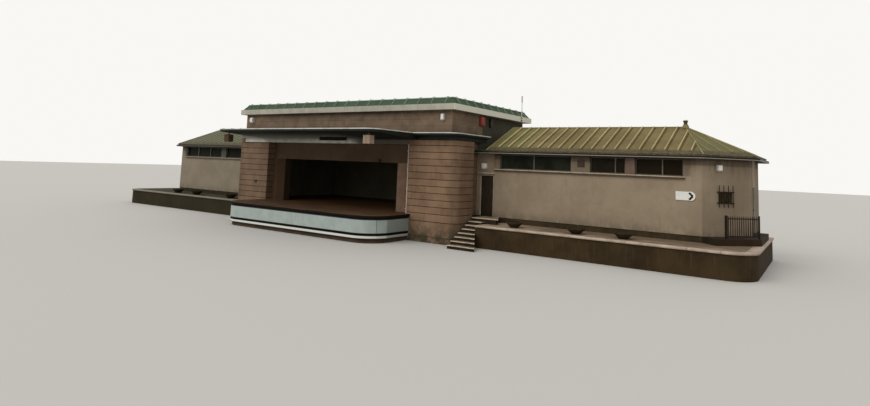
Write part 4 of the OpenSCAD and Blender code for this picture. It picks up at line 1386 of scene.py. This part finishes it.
def door_frame(low, high, across):
    """Two jambs and a head round a doorway. across is the axis from jamb to jamb."""
    near, far, head = list(high), list(low), list(low)
    near[across] = low[across] + JAMB_W
    far[across] = high[across] - JAMB_W
    head[2] = high[2] - JAMB_W
    return [(low, near), (far, high), (head, high)]


def mirror_box(low, high):
    """The same box on the left side."""
    return (-high[0], low[1], low[2]), (-low[0], high[1], high[2])


frames = door_frame((DOOR_X, LINK_Y + 0.01, FLOOR),
                    (DOOR_X + DOOR_W, LINK_Y + 0.075, DOOR_TOP), 0)
frames += door_frame((END_X - 0.075, END_Y, FLOOR),
                     (END_X - 0.01, END_Y + END_DOOR_W, DOOR_TOP), 1)
boxes("door_frames", frames, "link_frame")
hood = ((DOOR_X - 0.12, LINK_Y - 0.09, DOOR_TOP + 0.05),
        (DOOR_X + DOOR_W + 0.06, LINK_Y, DOOR_TOP + 0.12))
boxes("link_hoods", [mirror_box(*hood), hood], "coping")
face = [mirror_box((DOOR_X + 0.02 + 0.13 * k, LINK_Y + 0.085, FLOOR + 0.02),
                   (DOOR_X + 0.14 + 0.13 * k, LINK_Y + 0.1, DOOR_TOP - 0.02)) for k in range(6)]
boxes("left_door_face", face, "door", soft=0.003)

# %% [markdown]
# ## The hall behind the opening
# Seen from outside, the hall is close to black: the daylight stops at the front of the stage.
# Its walls and ceiling get a thin dark lining of painted shade, so that less light bounces around inside.
# Weaker lights would darken the front as well.

# %% Dark lining
HALL_X = 7.34
HALL_Y = (0.94, 7.94)
HALL_TOP = BLOCK_TOP - 0.05
OPENING_TOP = 3.8
lining = [((-HALL_X, HALL_Y[1] - 0.02, FLOOR), (HALL_X, HALL_Y[1], HALL_TOP)),
          ((-HALL_X, HALL_Y[0], FLOOR), (-HALL_X + 0.02, HALL_Y[1], HALL_TOP)),
          ((HALL_X - 0.02, HALL_Y[0], FLOOR), (HALL_X, HALL_Y[1], HALL_TOP)),
          ((-HALL_X, HALL_Y[0], HALL_TOP - 0.02), (HALL_X, HALL_Y[1], HALL_TOP)),
          ((-HALL_X, HALL_Y[0], OPENING_TOP), (HALL_X, HALL_Y[0] + 0.02, HALL_TOP))]
# a dark sheet of painted shade inside the hall
boxes("hall_lining", lining, "lining", soft=0.002)

# %% [markdown]
# ## Canopy details
# The canopy is a thin slab with a bright folded edge. Sheets of lead cover its top, with
# rolls between them, and its soffit is boarded. Two boxes hang from it, and a bare dark board
# hangs in front of the opening's beam. Rolls and battens are real bars, because a bump leaves
# a slab's outline flat.

# %% Canopy sheets and soffit boards
CANOPY_X = 5.925
CANOPY_D = -real_box("canopy_edging")[0].y
LEAD_ROLLS = 15
lead = [[(x, -CANOPY_D + 0.12, CANOPY_TOP + 0.004), (x, ATTIC_Y - 0.01, CANOPY_TOP + 0.004)]
        for x in np.linspace(-CANOPY_X + 0.5, CANOPY_X - 0.5, LEAD_ROLLS)]
rolls("lead_rolls", lead, 0.05, 0.05, "frame_paint")
soffit_slope = (CANOPY_TOP - 0.13 - PIER_TOP) / CANOPY_D
BATTENS, BATTEN_STEP = 15, 0.21
soffit = []
for k in range(1, BATTENS + 1):
    y = -CANOPY_D + 0.05 + k * BATTEN_STEP
    z = PIER_TOP - soffit_slope * y - 0.003
    edge = CANOPY_X - 0.1 - max(0, 0.6 - (y + CANOPY_D)) * 0.6
    soffit.append([(-edge, y, z), (edge, y, z)])
bars("soffit_battens", soffit, 0.02, 0.012, "canopy")


# %% Hanging boxes
HANG_X, HANG_Y, HANG_Z = 5.25, -3.0, 4.62


def hanging_box(name, x, finish, slat_finish):
    """A box on a stem, with upright slats on its front and its side."""
    low, high = (x - 0.2, HANG_Y - 0.16, HANG_Z + 0.01), (x + 0.2, HANG_Y + 0.16, HANG_Z + 0.43)
    stem = ((x - 0.03, HANG_Y - 0.03, HANG_Z + 0.4), (x + 0.03, HANG_Y + 0.03, 5.185))
    boxes(name, [(low, high), stem], finish, soft=0.01)
    slats = [((x - 0.19 + 0.082 * k, HANG_Y - 0.175, HANG_Z + 0.02),
              (x - 0.143 + 0.082 * k, HANG_Y - 0.155, HANG_Z + 0.42)) for k in range(5)]
    slats += [((x + 0.195, HANG_Y - 0.15 + 0.084 * k, HANG_Z + 0.02),
               (x + 0.215, HANG_Y - 0.105 + 0.084 * k, HANG_Z + 0.42)) for k in range(4)]
    boxes(name + "_slats", slats, slat_finish, soft=0.004)


paint_finish("brown_box", "brown_box", (78, 57, 39), (64, 46, 31), (40, 30, 21))
paint_finish("beige_box", "beige_box", (176, 158, 136), (156, 138, 116), (108, 92, 74))
hanging_box("left_hanging_box", -HANG_X, "brown_box", "brown_box")
hanging_box("right_hanging_box", HANG_X, "brown_box", "beige_box")

# %% [markdown]
# ## Lamps and boxes on the walls
# The photograph shows two floodlights on the attic, a lamp by the link door and one on the
# canted wall, a red box and a dark oval one on the side wall, and a lamp under the lintel.
# CAD has plain boxes for them. Each is made again here at about the same place and size, and
# the lamps on the walls get a housing, a bracket and a lens. A convex hull round a set of
# corners makes each block, which works for a box at any angle and for the oval one.

# %% Helpers for blocks on a wall
def turned(parts, origin, angle):
    """Boxes about their wall point, as a list of eight-corner sets turned to face outwards."""
    cos, sin = math.cos(angle), math.sin(angle)
    placed = []
    for low, high in parts:
        corners = [(x, y, z) for x in (low[0], high[0]) for y in (low[1], high[1])
                   for z in (low[2], high[2])]
        placed.append([real(origin[0] + x * cos - y * sin, origin[1] + x * sin + y * cos,
                            origin[2] + z) for x, y, z in corners])
    return placed


def hull_piece(name, corner_sets, finish, soft=0.006, replaces=()):
    """One piece made of convex blocks, each given by its corners in model metres."""
    bm = bmesh.new()
    for corners in corner_sets:
        fresh = [bm.verts.new(c) for c in corners]
        bmesh.ops.convex_hull(bm, input=fresh)
    bmesh.ops.dissolve_limit(bm, angle_limit=0.02, verts=bm.verts[:], edges=bm.edges[:])
    bevelled(bm, soft, 2)
    return piece(name, close_mesh(bm, name, finish), "building", replaces)


print("wall block helpers ready")

# %% Lamps and the board under the canopy
BOARD_Y = -1.0
board_top = PIER_TOP - soffit_slope * BOARD_Y + 0.01
board = ((-0.02, BOARD_Y - 0.03, 4.875), (1.975, BOARD_Y + 0.03, board_top))
boxes("blank_board", [board], "dark_board")
LAMP_PLACES = {
    "left_floodlight": ((-7.21, ATTIC_Y, 6.15), 0.0, (0.26, 0.22, 0.32)),
    "right_floodlight": ((7.32, ATTIC_Y, 6.15), 0.0, (0.18, 0.16, 0.32)),
    "link_lamp": ((8.31, LINK_Y, 3.82), 0.0, (0.32, 0.12, 0.29)),
}
CANT_X, CANT_Y = APEX_X + HALF_DEPTH * T22, WING_Y
CANT_STEP = 0.795 * math.sqrt(0.5)
LAMP_PLACES["cant_lamp"] = ((CANT_X + CANT_STEP, CANT_Y + CANT_STEP, 4.11), math.radians(45),
                            (0.23, 0.13, 0.25))
housings, lenses = [], []
for spot, angle, (w, d, h) in LAMP_PLACES.values():
    body_part = ((-w / 2, -d * 0.75, -h / 2), (w / 2, -0.001, h / 2))
    bracket = ((-w * 0.2, -d * 0.3, -h / 2 - 0.03), (w * 0.2, -0.001, -h / 2 + 0.02))
    housings += turned([body_part, bracket], spot, angle)
    lenses += turned([((-w * 0.42, -d, -h * 0.42), (w * 0.42, -d * 0.7, h * 0.42))], spot, angle)
hull_piece("lamp_housings", housings, "fitting", replaces=["wall_fittings"])
hull_piece("lamp_lenses", lenses, "lens", soft=0.02)

# %% Boxes on the side wall, the lintel lamp and the socket
SIDE_RENDER_X = HALF - 0.15
alarm = turned([((-0.21, -0.14, -0.24), (0.21, 0, 0.24)),
                ((-0.15, -0.16, -0.2), (0.15, -0.1, 0.12))], (HALF, 2.95, 6.16), math.radians(90))
hull_piece("alarm_box", alarm, "alarm_red", soft=0.02)
oval_turns = np.linspace(0, 2 * math.pi, 25)[:-1]
oval_ring = [(0.13 * math.cos(a), 0.25 * math.sin(a)) for a in oval_turns]
oval = [real(SIDE_RENDER_X + d, 4.2 + p, 6.17 + q) for d in (0.0, 0.13) for p, q in oval_ring]
hull_piece("oval_box", [oval], "door", soft=0.015)
lintel_lamp = turned([((-0.13, -0.06, -0.06), (0.13, 0, 0.095)),
                      ((-0.1, -0.15, -0.095), (0.1, -0.04, 0.05))], (3.05, JAMB_Y, 3.9), 0)
hull_piece("lintel_lamp", lintel_lamp, "door")
boxes("pier_socket", [((-6.46, -0.07, 2.27), (-6.3, -0.018, 2.43))], "door", soft=0.01)

# %% Window behind the grille, and the beam's band on the left pier
pane = turned([((0.765, -0.014, 2.68), (1.395, 0, 3.10))], (CANT_X, CANT_Y, 0),
              math.radians(45))
hull_piece("grille_window", pane, "dim_pane", soft=0.004)
head_band = ((-7.62, -0.03, PIER_TOP - 0.23), (-PIER_IN + 0.02, 0.0, PIER_TOP))
boxes("pier_head_band", [head_band], "beam", soft=0.006)

# %% Gutter brackets, pipe clips and mast clips
eave_y = WING_Y - OVERHANG
BRACKET_STEP = 0.95
brackets = []
for sign in (-1, 1):
    for x in np.arange(9.1, 18.6, BRACKET_STEP):
        brackets.append([(sign * x, WING_Y - 0.01, EAVES - 0.03),
                         (sign * x, eave_y - 0.06, EAVES - 0.03)])
bars("gutter_brackets", brackets, 0.03, 0.03, "frame_paint")
PIPE_X, PIPE_Y = PIER_IN - 0.042, 0.06
clips = [((PIPE_X - 0.055, PIPE_Y - 0.055, z), (PIPE_X + 0.04, PIPE_Y + 0.055, z + 0.05))
         for z in (1.5, 2.5, 3.5, 4.4)]
boxes("pipe_clips", clips, "fitting", soft=0.01)
MAST_X, MAST_Y = fascia_high.x + 0.0224, 7.2
mast_clips = [((fascia_high.x - 0.002, MAST_Y - 0.05, z),
               (MAST_X + 0.035, MAST_Y + 0.05, z + 0.04)) for z in (6.55, 6.70)]
boxes("mast_clips", mast_clips, "iron", soft=0.005)

# %% [markdown]
# ## Sign, bowls and railing
# The sign is a bare white panel with a round end, where a plain dark chevron stands, with no
# lettering. CAD has a smaller panel, and a plate and a disc on top of it give the full size.
# The bowls hold rough soil, which is a small hill of bumps inside the rim. Sculpted soil
# would be much heavier and look the same from a few steps away.

# %% Sign
SIGN_X, SIGN_Z = 17.64, 2.75
SIGN_MID = SIGN_Z + 0.145
bm = bmesh.new()
round_place = Matrix.Translation(real(SIGN_X + 0.57, WING_Y - 0.018, SIGN_MID))
round_turn = Matrix.Rotation(math.radians(90), 4, "X")
bmesh.ops.create_cone(bm, cap_ends=True, segments=48, radius1=real(0.19), radius2=real(0.19),
                      depth=real(0.034), matrix=round_place @ round_turn)
piece("sign_round", close_mesh(bm, "sign_round", "sign"))
plate = ((SIGN_X - 0.01, WING_Y - 0.033, SIGN_MID - 0.18),
         (SIGN_X + 0.46, WING_Y - 0.001, SIGN_MID + 0.18))
boxes("sign_plate", [plate], "sign", soft=0.003)
arrow_bars = [[(SIGN_X + 0.52, WING_Y - 0.04, SIGN_MID + s * 0.14),
               (SIGN_X + 0.66, WING_Y - 0.04, SIGN_MID)] for s in (-1, 1)]
bars("sign_chevron", arrow_bars, 0.014, 0.08, "iron")

# %% Soil in the bowls
BOWL_X = [10.88, 13.84, 15.89]
LEFT_BOWL_X = [10.2, 14.05, 16.35]
BOWL_Y = 1.06
SOIL_R = 0.30
CLODS = 46
bowl_top = real_box("planter_bowls")[1].z
rng = random.Random(3)
clods = []
for x in BOWL_X + [-x for x in LEFT_BOWL_X]:
    for k in range(CLODS):
        r = SOIL_R * math.sqrt(rng.random())
        a = rng.uniform(0, 2 * math.pi)
        clods.append((x + r * math.cos(a), BOWL_Y + r * math.sin(a),
                      bowl_top - 0.055 + 0.02 * (1 - r / SOIL_R)))
domes("bowl_soil", clods, 0.05, 0.5, "soil")

# %% Railing caps
RAIL_TOP = real_box("railing")[1].z
RAIL_START, RAIL_LENGTH, RAIL_OUT = 0.56, 1.5, 0.72
cap_points = []
for along_rail in (RAIL_START, RAIL_START + RAIL_LENGTH):
    x = CANT_X + (along_rail + RAIL_OUT) * math.sqrt(0.5)
    y = CANT_Y + (along_rail - RAIL_OUT) * math.sqrt(0.5)
    cap_points.append((x, y, RAIL_TOP - 0.005))
domes("railing_caps", cap_points, 0.04, 0.6, "iron")
